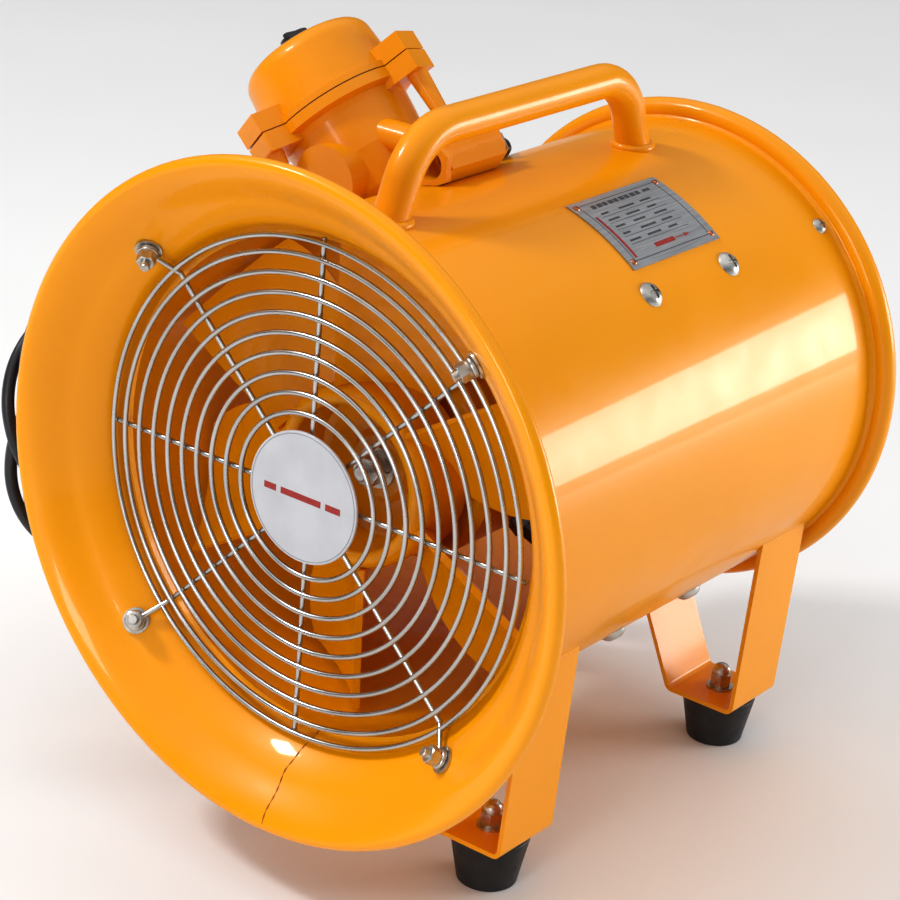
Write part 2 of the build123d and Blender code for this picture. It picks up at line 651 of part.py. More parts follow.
# ---------------------------------------------------------------- legs and rubber feet
BASE_TOP = -AXIS_HEIGHT + FOOT_HEIGHT + LEG_SHEET
LEG_HOLE_R = 4.3
legs = {
    "front_left": (-1, LEG_FRONT_D),
    "front_right": (1, LEG_FRONT_D),
    "rear_left": (-1, LEG_REAR_D),
    "rear_right": (1, LEG_REAR_D),
}
FOOT_RECESS_R = 11.0
FOOT_RECESS_DEPTH = 18.0
for name, (side, d) in legs.items():
    with BuildPart() as leg:
        with BuildSketch(cross_plane(d - LEG_WIDTH / 2)):
            with BuildLine():
                FilletPolyline(
                    (side * 124.0, -60.0), (side * (LEG_BASE_OUTER_X - 1.5), BASE_TOP - 1.5),
                    (side * (LEG_BASE_INNER_X + 1.5), BASE_TOP - 1.5), (side * 27.0, -128.0),
                    radius=5,
                )
                offset(amount=LEG_SHEET / 2, side=Side.BOTH, mode=Mode.REPLACE)
            make_face()
        extrude(amount=-LEG_WIDTH)
        with BuildSketch(cross_plane(0)):
            Circle(DUCT_R + 0.02)
        extrude(amount=-DUCT_LENGTH, mode=Mode.SUBTRACT)
        with Locations(side_plane(side * FOOT_X, d, BASE_TOP)):
            Cylinder(LEG_HOLE_R, 20, mode=Mode.SUBTRACT)
    save(f"leg_{name}", leg)

    with BuildPart() as foot:
        with BuildSketch(side_plane(side * FOOT_X, d, -AXIS_HEIGHT)):
            Circle(FOOT_BOTTOM_R)
        with BuildSketch(side_plane(side * FOOT_X, d, -AXIS_HEIGHT + FOOT_HEIGHT)):
            Circle(FOOT_TOP_R)
        loft()
        fillet(foot.faces().sort_by(Axis.Z)[-1].edges(), 1.5)
        fillet(foot.faces().sort_by(Axis.Z)[0].edges(), 1.5)
        with BuildSketch(side_plane(side * FOOT_X, d, -AXIS_HEIGHT)):
            Circle(FOOT_RECESS_R)
        extrude(amount=FOOT_RECESS_DEPTH, mode=Mode.SUBTRACT)
        with BuildSketch(side_plane(side * FOOT_X, d, -AXIS_HEIGHT)):
            Circle(LEG_HOLE_R)
        extrude(amount=FOOT_HEIGHT, mode=Mode.SUBTRACT)
    save(f"foot_{name}", foot)

foot_seats = [side_plane(side * FOOT_X, d, BASE_TOP) for side, d in legs.values()]
foot_recess_tops = [
    side_plane(side * FOOT_X, d, -AXIS_HEIGHT + FOOT_RECESS_DEPTH) for side, d in legs.values()
]
FOOT_BOLT_R = 4.0
with BuildPart() as foot_bolts:
    with Locations(*[plane.offset(-1.6) for plane in foot_recess_tops]):
        add(hex_bolt(13, 5.3, FOOT_BOLT_R, 32.5))
save("foot_bolts", foot_bolts)

with BuildPart() as foot_washers:
    with Locations(*foot_seats):
        add(washer(9, FOOT_BOLT_R + 0.1, 1.6))
        add(washer(6.8, FOOT_BOLT_R + 0.1, 2.0, 1.6, split=1.0))
    with Locations(*foot_recess_tops):
        add(washer(10, FOOT_BOLT_R + 0.1, 1.6, -1.6))
save("foot_washers", foot_washers)

ACORN_HEX = 13.0
ACORN_SHOULDER = 7.0
ACORN_HEIGHT = 14.0
ACORN_DOME_R = 6.0
with BuildPart() as acorn_nut:
    with BuildSketch():
        RegularPolygon(ACORN_HEX / 2, 6, major_radius=False)
    extrude(amount=ACORN_SHOULDER)
    with BuildSketch(Plane.XY.offset(ACORN_SHOULDER)):
        Circle(ACORN_DOME_R)
    extrude(amount=ACORN_HEIGHT - ACORN_SHOULDER)
    fillet(acorn_nut.faces().sort_by(Axis.Z)[-1].edges(), ACORN_DOME_R - 0.8)
    with BuildSketch():
        Circle(FOOT_BOLT_R + 0.02)
    extrude(amount=ACORN_HEIGHT - 3, mode=Mode.SUBTRACT)
with BuildPart() as foot_nuts:
    with Locations(*[plane.offset(3.6) for plane in foot_seats]):
        add(acorn_nut.part)
save("foot_nuts", foot_nuts)

# ---------------------------------------------------------------- junction box
BOX_BODY_R = 43.0
BOX_CAVITY_R = 38.0
BOX_FLOOR = 12.0
BOX_FOOT = 4.0  # gap between the duct and the box
FLANGE_DEPTH = 7.0
LUG_ANGLES = [30.0, 165.0, 285.0]
POST_LENGTHS = [30.0, 9.0, 30.0]  # of the tapered screw posts below the lugs
POST_TOP_R = 6.8
POST_END_R = 5.0
LUG_INNER = 40.0
LUG_OUTER = 67.0
LUG_WIDTH = 24.0
LUG_BOLT = 59.5
LUG_BOLT_R = 3.0
LUG_DEPTH = 13.0
BOSS_R = 23.0
BOSS_HEIGHT = 27.2
BOSS_END = 48.0
GASKET = 0.8
LID_BASE = BOX_SEAM + GASKET
BOX_PROFILE = Plane(
    origin=box_plane(0).origin, x_dir=(0, 1, 0), z_dir=box_plane(0).y_dir * -1
)
BOX_AXIS = Axis(box_plane(0).origin, box_plane(0).z_dir)
LINK_HEIGHT = 153.0  # of the conduit between the box and the cord outlet, above the fan axis
LINK_D = 222.0
LINK_R = 10.0
LINK_BORE_R = 7.0
LINK_START_X = -92.0
LINK_END_X = -48.0


def across_plane(x):
    """A plane across X at the conduit link, facing +X."""
    return Plane(
        origin=(x, INLET_Y + LINK_D, AXIS_HEIGHT + LINK_HEIGHT), x_dir=(0, 1, 0), z_dir=(1, 0, 0)
    )


def lug_blocks(base, depth):
    """Three lugs that start at a height on the box axis."""
    with BuildPart() as blocks:
        with BuildSketch(box_plane(base)):
            for angle in LUG_ANGLES:
                with PolarLocations((LUG_INNER + LUG_OUTER) / 2, 1, start_angle=angle):
                    Rectangle(LUG_OUTER - LUG_INNER, LUG_WIDTH)
        extrude(amount=depth)
    return blocks.part


with BuildPart() as junction_box_base:
    with BuildSketch(BOX_PROFILE):
        with BuildLine():
            Polyline(
                (0, BOX_FOOT), (33, BOX_FOOT), (36, 8), (41, 32), (BOX_BODY_R, BOX_SEAM - 13),
                (BOX_BODY_R + 1, BOX_SEAM - FLANGE_DEPTH - 2), (BOX_FLANGE_R, BOX_SEAM - FLANGE_DEPTH),
                (BOX_FLANGE_R, BOX_SEAM), (0, BOX_SEAM), close=True,
            )
        make_face()
    revolve(axis=BOX_AXIS)
    add(lug_blocks(BOX_SEAM, -LUG_DEPTH))
    for angle, length in zip(LUG_ANGLES, POST_LENGTHS):
        post_top = BOX_SEAM - LUG_DEPTH
        for height, radius in ((post_top + 1, POST_TOP_R), (post_top - length, POST_END_R)):
            with BuildSketch(box_plane(height)):
                with PolarLocations(LUG_BOLT, 1, start_angle=angle):
                    Circle(radius)
        loft()
    with BuildSketch(Plane(box_plane(BOSS_HEIGHT).origin, z_dir=(0, -1, 0))):
        Circle(BOSS_R)
    extrude(amount=BOSS_END)
    fillet(junction_box_base.faces().sort_by(Axis.Y)[0].edges(), 1.5)
    with BuildSketch(across_plane(LINK_START_X)):
        Circle(LINK_R)
    extrude(amount=-26)
    with BuildSketch(BOX_PROFILE):
        with BuildLine():
            Polyline(
                (0, BOX_FLOOR), (27, BOX_FLOOR), (35, 34), (BOX_CAVITY_R, BOX_SEAM - 13),
                (BOX_CAVITY_R, BOX_SEAM), (0, BOX_SEAM), close=True,
            )
        make_face()
    revolve(axis=BOX_AXIS, mode=Mode.SUBTRACT)
    for angle, length in zip(LUG_ANGLES, POST_LENGTHS):
        with BuildSketch(box_plane(BOX_SEAM)):
            with PolarLocations(LUG_BOLT, 1, start_angle=angle):
                Circle(LUG_BOLT_R + 0.2)
        extrude(amount=-(LUG_DEPTH + length), mode=Mode.SUBTRACT)
    with Locations(box_plane(0)):
        Cylinder(NIPPLE_R + 0.02, 40, mode=Mode.SUBTRACT)
    with BuildSketch(cross_plane(0)):
        Circle(DUCT_R + 1)
    extrude(amount=-DUCT_LENGTH, mode=Mode.SUBTRACT)
    with BuildSketch(across_plane(LINK_START_X)):
        Circle(LINK_BORE_R)
    extrude(amount=-24, mode=Mode.SUBTRACT)
save("junction_box_base", junction_box_base)

LID_R = 47.5
LID_WALL = 4.0
SHOULDER_R = LID_R - 3
CROWN_R = LID_R - 15
SWITCH_BUSH_R = 6.0
LID_LUG_DEPTH = 13.0
with BuildPart() as junction_box_lid:
    with BuildSketch(BOX_PROFILE):
        with BuildLine():
            Polyline(
                (0, LID_BASE), (BOX_FLANGE_R, LID_BASE), (BOX_FLANGE_R, LID_BASE + 4),
                (LID_R, LID_BASE + 5), (SHOULDER_R, BOX_TOP - 12),
            )
            ThreePointArc(
                (SHOULDER_R, BOX_TOP - 12), (SHOULDER_R - 3.6, BOX_TOP - 3.6), (CROWN_R, BOX_TOP)
            )
            Polyline((CROWN_R, BOX_TOP), (0, BOX_TOP), (0, LID_BASE))
        make_face()
    revolve(axis=BOX_AXIS)
    add(lug_blocks(LID_BASE, LID_LUG_DEPTH))
    with BuildSketch(BOX_PROFILE):
        with BuildLine():
            Polyline(
                (0, LID_BASE), (LID_R - LID_WALL, LID_BASE), (SHOULDER_R - LID_WALL, BOX_TOP - 13),
                (CROWN_R, BOX_TOP - LID_WALL), (0, BOX_TOP - LID_WALL), close=True,
            )
        make_face()
    revolve(axis=BOX_AXIS, mode=Mode.SUBTRACT)
    with Locations(box_plane(BOX_TOP)):
        Cylinder(SWITCH_BUSH_R + 0.02, 20, mode=Mode.SUBTRACT)
    for angle in LUG_ANGLES:
        with BuildSketch(box_plane(LID_BASE)):
            with PolarLocations(LUG_BOLT, 1, start_angle=angle):
                Circle(LUG_BOLT_R + 0.2)
        extrude(amount=9, mode=Mode.SUBTRACT)
save("junction_box_lid", junction_box_lid)

with BuildPart() as lid_gasket:
    with BuildSketch(box_plane(BOX_SEAM)):
        Circle(BOX_FLANGE_R - 1.5)
        Circle(LID_R - LID_WALL + 0.5, mode=Mode.SUBTRACT)
    extrude(amount=GASKET)
save("lid_gasket", lid_gasket)

with BuildPart() as lid_screws:
    for angle, length in zip(LUG_ANGLES, POST_LENGTHS):
        with Locations(box_plane(BOX_SEAM - LUG_DEPTH - length)):
            with PolarLocations(LUG_BOLT, 1, start_angle=angle):
                add(hex_bolt(8, 3, LUG_BOLT_R, LUG_DEPTH + length + 8))
save("lid_screws", lid_screws)

NIPPLE_COLLAR_R = 20.0
with BuildPart() as box_nipple:
    with BuildSketch(box_plane(-8)):
        Circle(NIPPLE_COLLAR_R)
        Circle(NIPPLE_BORE_R, mode=Mode.SUBTRACT)
    extrude(amount=8 + BOX_FOOT)
    with BuildSketch(cross_plane(BOX_D - 40)):
        Circle(DUCT_R + CLEARANCE)
        Circle(DUCT_BORE_R - CLEARANCE, mode=Mode.SUBTRACT)
    extrude(amount=-80, mode=Mode.SUBTRACT)
    with BuildSketch(box_plane(-16)):
        Circle(NIPPLE_R)
        Circle(NIPPLE_BORE_R, mode=Mode.SUBTRACT)
    extrude(amount=30)
    with BuildSketch(cross_plane(BOX_D - 40)):
        Circle(DUCT_BORE_R - 4)
    extrude(amount=-80, mode=Mode.SUBTRACT)
save("box_nipple", box_nipple)

with BuildPart() as terminal_block:
    with BuildSketch(box_plane(BOX_FLOOR + 3)):
        with Locations((0, 17)):
            Rectangle(30, 9)
    extrude(amount=12)
    with BuildSketch(box_plane(BOX_FLOOR + 15)):
        with Locations((0, 17)):
            with GridLocations(9, 1, 3, 1):
                Circle(2.4)
    extrude(amount=-7, mode=Mode.SUBTRACT)
save("terminal_block", terminal_block)

with BuildPart() as start_capacitor:
    with Locations(box_plane(48)):
        Cylinder(11, 46, rotation=(0, 90, 0))
        with Locations((-26, 0, 0)):
            Cylinder(3, 6, rotation=(0, 90, 0))
save("start_capacitor", start_capacitor)

STEM_R = 3.0
KNOB_BASE = BOX_TOP + 1.0
with BuildPart() as switch_body:
    with BuildSketch(box_plane(BOX_TOP - LID_WALL - 26)):
        RectangleRounded(30, 26, 2)
    extrude(amount=26)
    with BuildSketch(box_plane(BOX_TOP - LID_WALL)):
        Circle(SWITCH_BUSH_R)
    extrude(amount=LID_WALL + 0.5)
    with BuildSketch(box_plane(BOX_TOP + 0.5)):
        Circle(STEM_R + CLEARANCE)
    extrude(amount=-20, mode=Mode.SUBTRACT)
save("switch_body", switch_body)

KNOB_R = 11.0
KNOB_HEIGHT = 9.0
GRIP_HEIGHT = 3.0
with BuildPart() as switch_knob:
    with BuildSketch(box_plane(KNOB_BASE)):
        Circle(KNOB_R)
    extrude(amount=KNOB_HEIGHT, taper=8)
    with BuildSketch(box_plane(KNOB_BASE + KNOB_HEIGHT)):
        SlotOverall(16, 4.5)
    extrude(amount=GRIP_HEIGHT)
    fillet(switch_knob.faces().sort_by(BOX_AXIS)[-1].edges(), 0.8)
    with BuildSketch(box_plane(KNOB_BASE)):
        Circle(STEM_R)
    extrude(amount=-18)
save("switch_knob", switch_knob)

# ---------------------------------------------------------------- cord outlet beside the handle
OUTLET_X = -38.0
OUTLET_Z = 160.5
OUTLET_START_D = 177.0
OUTLET_END_D = 230.5
OUTLET_HEX = 12.5  # inner radius of the hexagonal body
PORT_HEX = 13.5
PORT_BORE_R = 9.5
OUTLET_BORE_R = 7.0
NECK_R = 9.5
NECK_END = 6.0
GLAND_THICKNESS = 4.0
BOOT_LENGTH = 27.0
CORD_EXIT = NECK_END + GLAND_THICKNESS + BOOT_LENGTH
BOOT_RIBS = 6


def outlet_plane(d):
    """A plane across the cord outlet that faces the rear."""
    return Plane(
        origin=(OUTLET_X, INLET_Y + d, AXIS_HEIGHT + OUTLET_Z), x_dir=(1, 0, 0), z_dir=(0, 1, 0)
    )


def neck_plane(distance):
    """A plane across the slanted neck, which leaves the outlet to the rear, outboard and down."""
    return Plane(
        origin=outlet_plane(OUTLET_END_D).origin, x_dir=(0.6, 0, -0.8), z_dir=(-0.36, 0.893, -0.27)
    ).offset(distance)


with BuildPart() as outlet_elbow:
    with BuildSketch(outlet_plane(OUTLET_START_D)):
        RegularPolygon(OUTLET_HEX, 6, major_radius=False)
    extrude(amount=OUTLET_END_D - OUTLET_START_D)
    with BuildSketch(outlet_plane(OUTLET_START_D - 5)):
        RegularPolygon(PORT_HEX, 6, rotation=30, major_radius=False)
    extrude(amount=5)
    with BuildSketch(neck_plane(-8)):
        Circle(NECK_R)
    extrude(amount=8 + NECK_END)
    with BuildSketch(across_plane(LINK_START_X)):
        Circle(LINK_R)
    extrude(amount=LINK_END_X - LINK_START_X)
    with BuildSketch(across_plane(LINK_START_X)):
        Circle(LINK_BORE_R)
    extrude(amount=OUTLET_X - LINK_START_X, mode=Mode.SUBTRACT)
    with BuildSketch(outlet_plane(OUTLET_START_D - 5)):
        Circle(PORT_BORE_R)
    extrude(amount=18, mode=Mode.SUBTRACT)
    with BuildSketch(outlet_plane(OUTLET_START_D)):
        Circle(OUTLET_BORE_R)
    extrude(amount=OUTLET_END_D - OUTLET_START_D - 6, mode=Mode.SUBTRACT)
    with BuildSketch(neck_plane(NECK_END)):
        Circle(OUTLET_BORE_R)
    extrude(amount=-16, mode=Mode.SUBTRACT)
    with BuildSketch(cross_plane(0)):
        Circle(DUCT_R + 0.4)
    extrude(amount=-DUCT_LENGTH, mode=Mode.SUBTRACT)
save("outlet_elbow", outlet_elbow)

with BuildPart() as cord_gland:
    with BuildSketch(neck_plane(NECK_END)):
        RegularPolygon(9.4, 6, major_radius=False)
    extrude(amount=GLAND_THICKNESS)
    with BuildSketch(neck_plane(NECK_END)):
        Circle(OUTLET_BORE_R - 0.02)
    extrude(amount=-10)
    with BuildSketch(neck_plane(NECK_END - 10)):
        Circle(CORD_R + 0.1)
    extrude(amount=30, mode=Mode.SUBTRACT)
save("cord_gland", cord_gland)

BOOT_START = NECK_END + GLAND_THICKNESS
with BuildPart() as cord_boot:
    with BuildSketch(neck_plane(BOOT_START)):
        Circle(7.6)
    with BuildSketch(neck_plane(CORD_EXIT)):
        Circle(4.9)
    loft()
    for i in range(BOOT_RIBS):
        with Locations(neck_plane(BOOT_START + BOOT_LENGTH / BOOT_RIBS * (i + 0.35))):
            Torus(7.5 - 0.45 * i, 1.3)
save("cord_boot", cord_boot)

# ---------------------------------------------------------------- motor lead inside the duct
LEAD_R = 4.0
GLAND_OUTER_R = MOTOR_R + 20
with BuildPart() as motor_lead_gland:
    with BuildSketch(radial_plane(GLAND_D, GLAND_THETA, MOTOR_R - 3.6)):
        Circle(GLAND_HOLE_R - 0.02)
    extrude(amount=8)
    with BuildSketch(radial_plane(GLAND_D, GLAND_THETA, MOTOR_R + 0.4)):
        RegularPolygon(10, 6, major_radius=False)
    extrude(amount=8)
    with BuildSketch(radial_plane(GLAND_D, GLAND_THETA, MOTOR_R + 8.4)):
        Circle(9)
    extrude(amount=GLAND_OUTER_R - MOTOR_R - 8.4, taper=12)
save("motor_lead_gland", motor_lead_gland)

lead_route = [
    duct_point(GLAND_D, GLAND_THETA, GLAND_OUTER_R),
    duct_point(GLAND_D, GLAND_THETA, 103),
    duct_point(GLAND_D, -27, 118),
    duct_point(GLAND_D - 1, -12, 124),
    duct_point(GLAND_D - 2, 10, 124),
    duct_point(GLAND_D - 1, 34, 123),
    duct_point(GLAND_D, 58, 122),
    duct_point(GLAND_D + 3, 80, 119),
    duct_point(GLAND_D + 11, 100, 115),
    duct_point(GLAND_D + 22, 116, 112),
    duct_point(BOX_D - 2, 126, 120),
    duct_point(BOX_D, BOX_ANGLE, 140),
]


def route_radii(route, limp=0.45):
    """The largest arcs that the runs of a route allow."""
    radii = []
    for before, corner, after in zip(route, route[1:], route[2:]):
        turn = (corner - before).get_angle(after - corner)
        shorter = min((corner - before).length, (after - corner).length)
        radii.append(limp * shorter / tan(radians(turn / 2)))
    return radii


def cord_tube(route, radius):
    """A round tube along straight runs joined by tangent arcs."""
    with BuildPart() as tube:
        with BuildLine():
            path = FilletPolyline(*route, radius=route_radii(route))
        with BuildSketch(Plane(origin=path @ 0, z_dir=path % 0)):
            Circle(radius)
        sweep(path=path)
    return tube, path


motor_lead, motor_lead_path = cord_tube(lead_route, LEAD_R)
save("motor_lead", motor_lead)

# ---------------------------------------------------------------- nameplate
with BuildPart() as nameplate:
    with BuildSketch(profile_plane(PLATE_THETA[1])):
        with Locations((sum(PLATE_D) / 2, DUCT_R + CLEARANCE + PLATE_THICKNESS / 2)):
            Rectangle(PLATE_D[1] - PLATE_D[0], PLATE_THICKNESS)
    revolve(axis=FAN_AXIS, revolution_arc=PLATE_THETA[1] - PLATE_THETA[0])
    with Locations(*rivet_seats):
        Cylinder(RIVET_HOLE_R, 8, mode=Mode.SUBTRACT)
save("nameplate", nameplate)

with BuildPart() as nameplate_rivets:
    with Locations(*rivet_seats):
        add(pan_screw(2.2, 1.1, RIVET_HOLE_R - 0.1, 3.4))
save("nameplate_rivets", nameplate_rivets)

# ---------------------------------------------------------------- power cord, coil, tail, tie and plug
# The coil is a ring in an upright plane that stands a little askew to the duct. It hangs on a peg
# and leans on the rim of the bell and on the side of the duct.


def cord_point(x, d, z):
    """A point of the cord's route, with z measured from the fan axis."""
    return Vector(x, INLET_Y + d, AXIS_HEIGHT + z)


coil_centre = cord_point(COIL_X, COIL_D, COIL_Z)
coil_along = Vector(sin(radians(COIL_TILT)), cos(radians(COIL_TILT)), 0)
coil_rear = coil_centre + coil_along * COIL_R

with BuildPart() as cord_coil:
    with Locations(
        Plane(origin=coil_centre, x_dir=coil_along, z_dir=coil_along.cross(Vector(0, 0, 1)))
    ):
        Torus(COIL_R, COIL_SECTION_R)
save("cord_coil", cord_coil)

cord_route = [
    neck_plane(CORD_EXIT).origin,
    neck_plane(CORD_EXIT + 18).origin,
    cord_point(-84, 303, 136),
    cord_point(-115, 312, 116),
    cord_point(-144, 304, 86),
    cord_point(-163, 284, 54),
    cord_point(-173, 264, 22),
    cord_point(-176, 250, -6),
    coil_rear,
]
power_cord, power_cord_path = cord_tube(cord_route, CORD_R)
save("power_cord", power_cord)

tail_route = [
    coil_rear + Vector(0, 5, -4),
    cord_point(-174, 254.5, -51),
    cord_point(-173.5, 262.5, -71),
    cord_point(-175, 268, -94),
    cord_point(-176, 268.5, -114),
]
cord_tail, cord_tail_path = cord_tube(tail_route, CORD_R)
save("cord_tail", cord_tail)

# The plug hangs on the tail and points down: a strain relief, a moulded body and three pins.
PLUG_RELIEF = 26.0
PLUG_BODY = 32.0
PLUG_PIN_LENGTH = 17.0
PLUG_BLADE_SPREAD = 12.7
plug_top = Plane(origin=tail_route[-1], x_dir=(0, 1, 0), z_dir=tail_route[-1] - tail_route[-2])
with BuildPart() as power_plug:
    with BuildSketch(plug_top):
        Circle(CORD_R + 1.5)
    with BuildSketch(plug_top.offset(PLUG_RELIEF)):
        Circle(8)
    loft()
    with BuildSketch(plug_top.offset(PLUG_RELIEF - 2)):
        RectangleRounded(20, 19, 8)
    with BuildSketch(plug_top.offset(PLUG_RELIEF + 10)):
        RectangleRounded(27, 26, 10)
    with BuildSketch(plug_top.offset(PLUG_RELIEF + PLUG_BODY)):
        RectangleRounded(28, 27, 11)
    loft()
    with BuildSketch(plug_top.offset(PLUG_RELIEF + PLUG_BODY)):
        with Locations((-PLUG_BLADE_SPREAD / 2, -4.5), (PLUG_BLADE_SPREAD / 2, -4.5)):
            Rectangle(1.5, 6.3)
        with Locations((0, 7.4)):
            Circle(2.4)
    extrude(amount=PLUG_PIN_LENGTH)
save("power_plug", power_plug)

# A peg on the side of the duct carries the coil, and a strap binds the turns.
PEG_R = 4.0
PEG_Z = COIL_Z + COIL_R - COIL_SECTION_R - PEG_R - CLEARANCE
PEG_END_X = COIL_X - 1.5 * PEG_R
PEG_ROOT_X = -126.0
with BuildPart() as cord_peg:
    with BuildSketch(Plane(origin=cord_point(PEG_END_X, COIL_D, PEG_Z), z_dir=(1, 0, 0))):
        Circle(PEG_R)
    extrude(amount=PEG_ROOT_X - PEG_END_X)
    with Locations(cord_point(PEG_END_X, COIL_D, PEG_Z)):
        Sphere(PEG_R)
    with BuildSketch(cross_plane(0)):
        Circle(DUCT_R + 0.02)
    extrude(amount=-DUCT_LENGTH, mode=Mode.SUBTRACT)
save("cord_peg", cord_peg)

STRAP_WIDTH = 12.0
STRAP_ANGLE = -70.0  # round the coil, from its rear
strap_ray = coil_along * cos(radians(STRAP_ANGLE)) + Vector(0, 0, sin(radians(STRAP_ANGLE)))
strap_along = coil_along * -sin(radians(STRAP_ANGLE)) + Vector(0, 0, cos(radians(STRAP_ANGLE)))
strap_middle = Plane(origin=coil_centre + strap_ray * COIL_R, x_dir=strap_ray, z_dir=strap_along)
with BuildPart() as cord_tie:
    with BuildSketch(strap_middle):
        Circle(COIL_SECTION_R + 1.8)
        Circle(COIL_SECTION_R + 0.3, mode=Mode.SUBTRACT)
    extrude(amount=STRAP_WIDTH / 2, both=True)
save("cord_tie", cord_tie)

for name, route, path in (
    ("motor lead", lead_route, motor_lead_path),
    ("power cord", cord_route, power_cord_path),
    ("cord tail", tail_route, cord_tail_path),
):
    print(name, "radii", [round(r) for r in route_radii(route)], "length", round(path.length))
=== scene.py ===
from math import atan2, cos, exp, pi, radians, sin, sqrt

import bmesh
import bpy
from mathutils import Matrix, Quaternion, Vector


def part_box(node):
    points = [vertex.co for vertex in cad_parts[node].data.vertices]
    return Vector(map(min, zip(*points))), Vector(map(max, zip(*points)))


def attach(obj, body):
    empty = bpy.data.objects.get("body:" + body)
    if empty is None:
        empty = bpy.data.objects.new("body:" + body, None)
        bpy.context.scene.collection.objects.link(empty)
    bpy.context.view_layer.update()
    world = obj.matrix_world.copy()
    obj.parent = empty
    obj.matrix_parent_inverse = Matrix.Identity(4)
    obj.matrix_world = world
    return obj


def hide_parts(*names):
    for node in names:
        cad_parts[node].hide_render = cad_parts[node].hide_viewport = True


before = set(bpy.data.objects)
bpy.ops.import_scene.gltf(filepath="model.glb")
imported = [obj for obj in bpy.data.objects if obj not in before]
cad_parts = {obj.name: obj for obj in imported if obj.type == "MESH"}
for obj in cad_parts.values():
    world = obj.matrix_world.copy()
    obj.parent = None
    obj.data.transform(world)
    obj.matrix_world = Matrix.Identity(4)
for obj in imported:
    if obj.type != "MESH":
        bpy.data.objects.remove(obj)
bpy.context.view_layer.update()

# Portable axial ventilation fan: looks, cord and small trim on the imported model.
# Places along the duct are distances behind the inlet rim's centre plane (d), angles about the
# fan axis run from +X towards +Z (theta), and radii are taken from the fan axis (r). All in metres.

MM = 0.001

# ---------------------------------------------------------------- sizes from the frame
bell_low, bell_high = (Vector(corner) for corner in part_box("inlet_bell"))
BELL_BEAD_R = 4.5 * MM
FAN_X = (bell_low.x + bell_high.x) / 2
AXIS_Z = (bell_low.z + bell_high.z) / 2
INLET_Y = bell_low.y + BELL_BEAD_R
DUCT_R = 152 * MM
FLARE_THROAT = (42.5 * MM, 152.5 * MM)
FLARE_MIDDLE = (20.05 * MM, 168.75 * MM)
FLARE_CREASE = (5 * MM, 192 * MM)


def duct_point(d, theta, r):
    """The point at distance d, angle theta in degrees and radius r."""
    angle = radians(theta)
    return Vector((FAN_X + r * cos(angle), INLET_Y + d, AXIS_Z + r * sin(angle)))


# ---------------------------------------------------------------- camera
CAMERA_AZIMUTH = 36.2
CAMERA_ELEVATION = 22.8
CAMERA_ROLL = 4.7
CAMERA_DISTANCE = 1.678
CAMERA_LENS = 108.4


def make_camera():
    azimuth, elevation = radians(CAMERA_AZIMUTH), radians(CAMERA_ELEVATION)
    ahead = Vector((-sin(azimuth) * cos(elevation), cos(azimuth) * cos(elevation), -sin(elevation)))
    target = Vector((FAN_X - 0.016, -0.022, AXIS_Z - 0.021))
    data = bpy.data.cameras.new("camera")
    data.lens = CAMERA_LENS
    data.clip_end = 50
    camera = bpy.data.objects.new("camera", data)
    camera.rotation_mode = "QUATERNION"
    upright = ahead.to_track_quat("-Z", "Y")
    camera.rotation_quaternion = upright @ Quaternion((0, 0, 1), radians(CAMERA_ROLL))
    camera.location = target - ahead * CAMERA_DISTANCE
    bpy.context.collection.objects.link(camera)
    bpy.context.scene.camera = camera


make_camera()


# ---------------------------------------------------------------- materials
NOISE_LOW, NOISE_HIGH = 0.3, 0.7


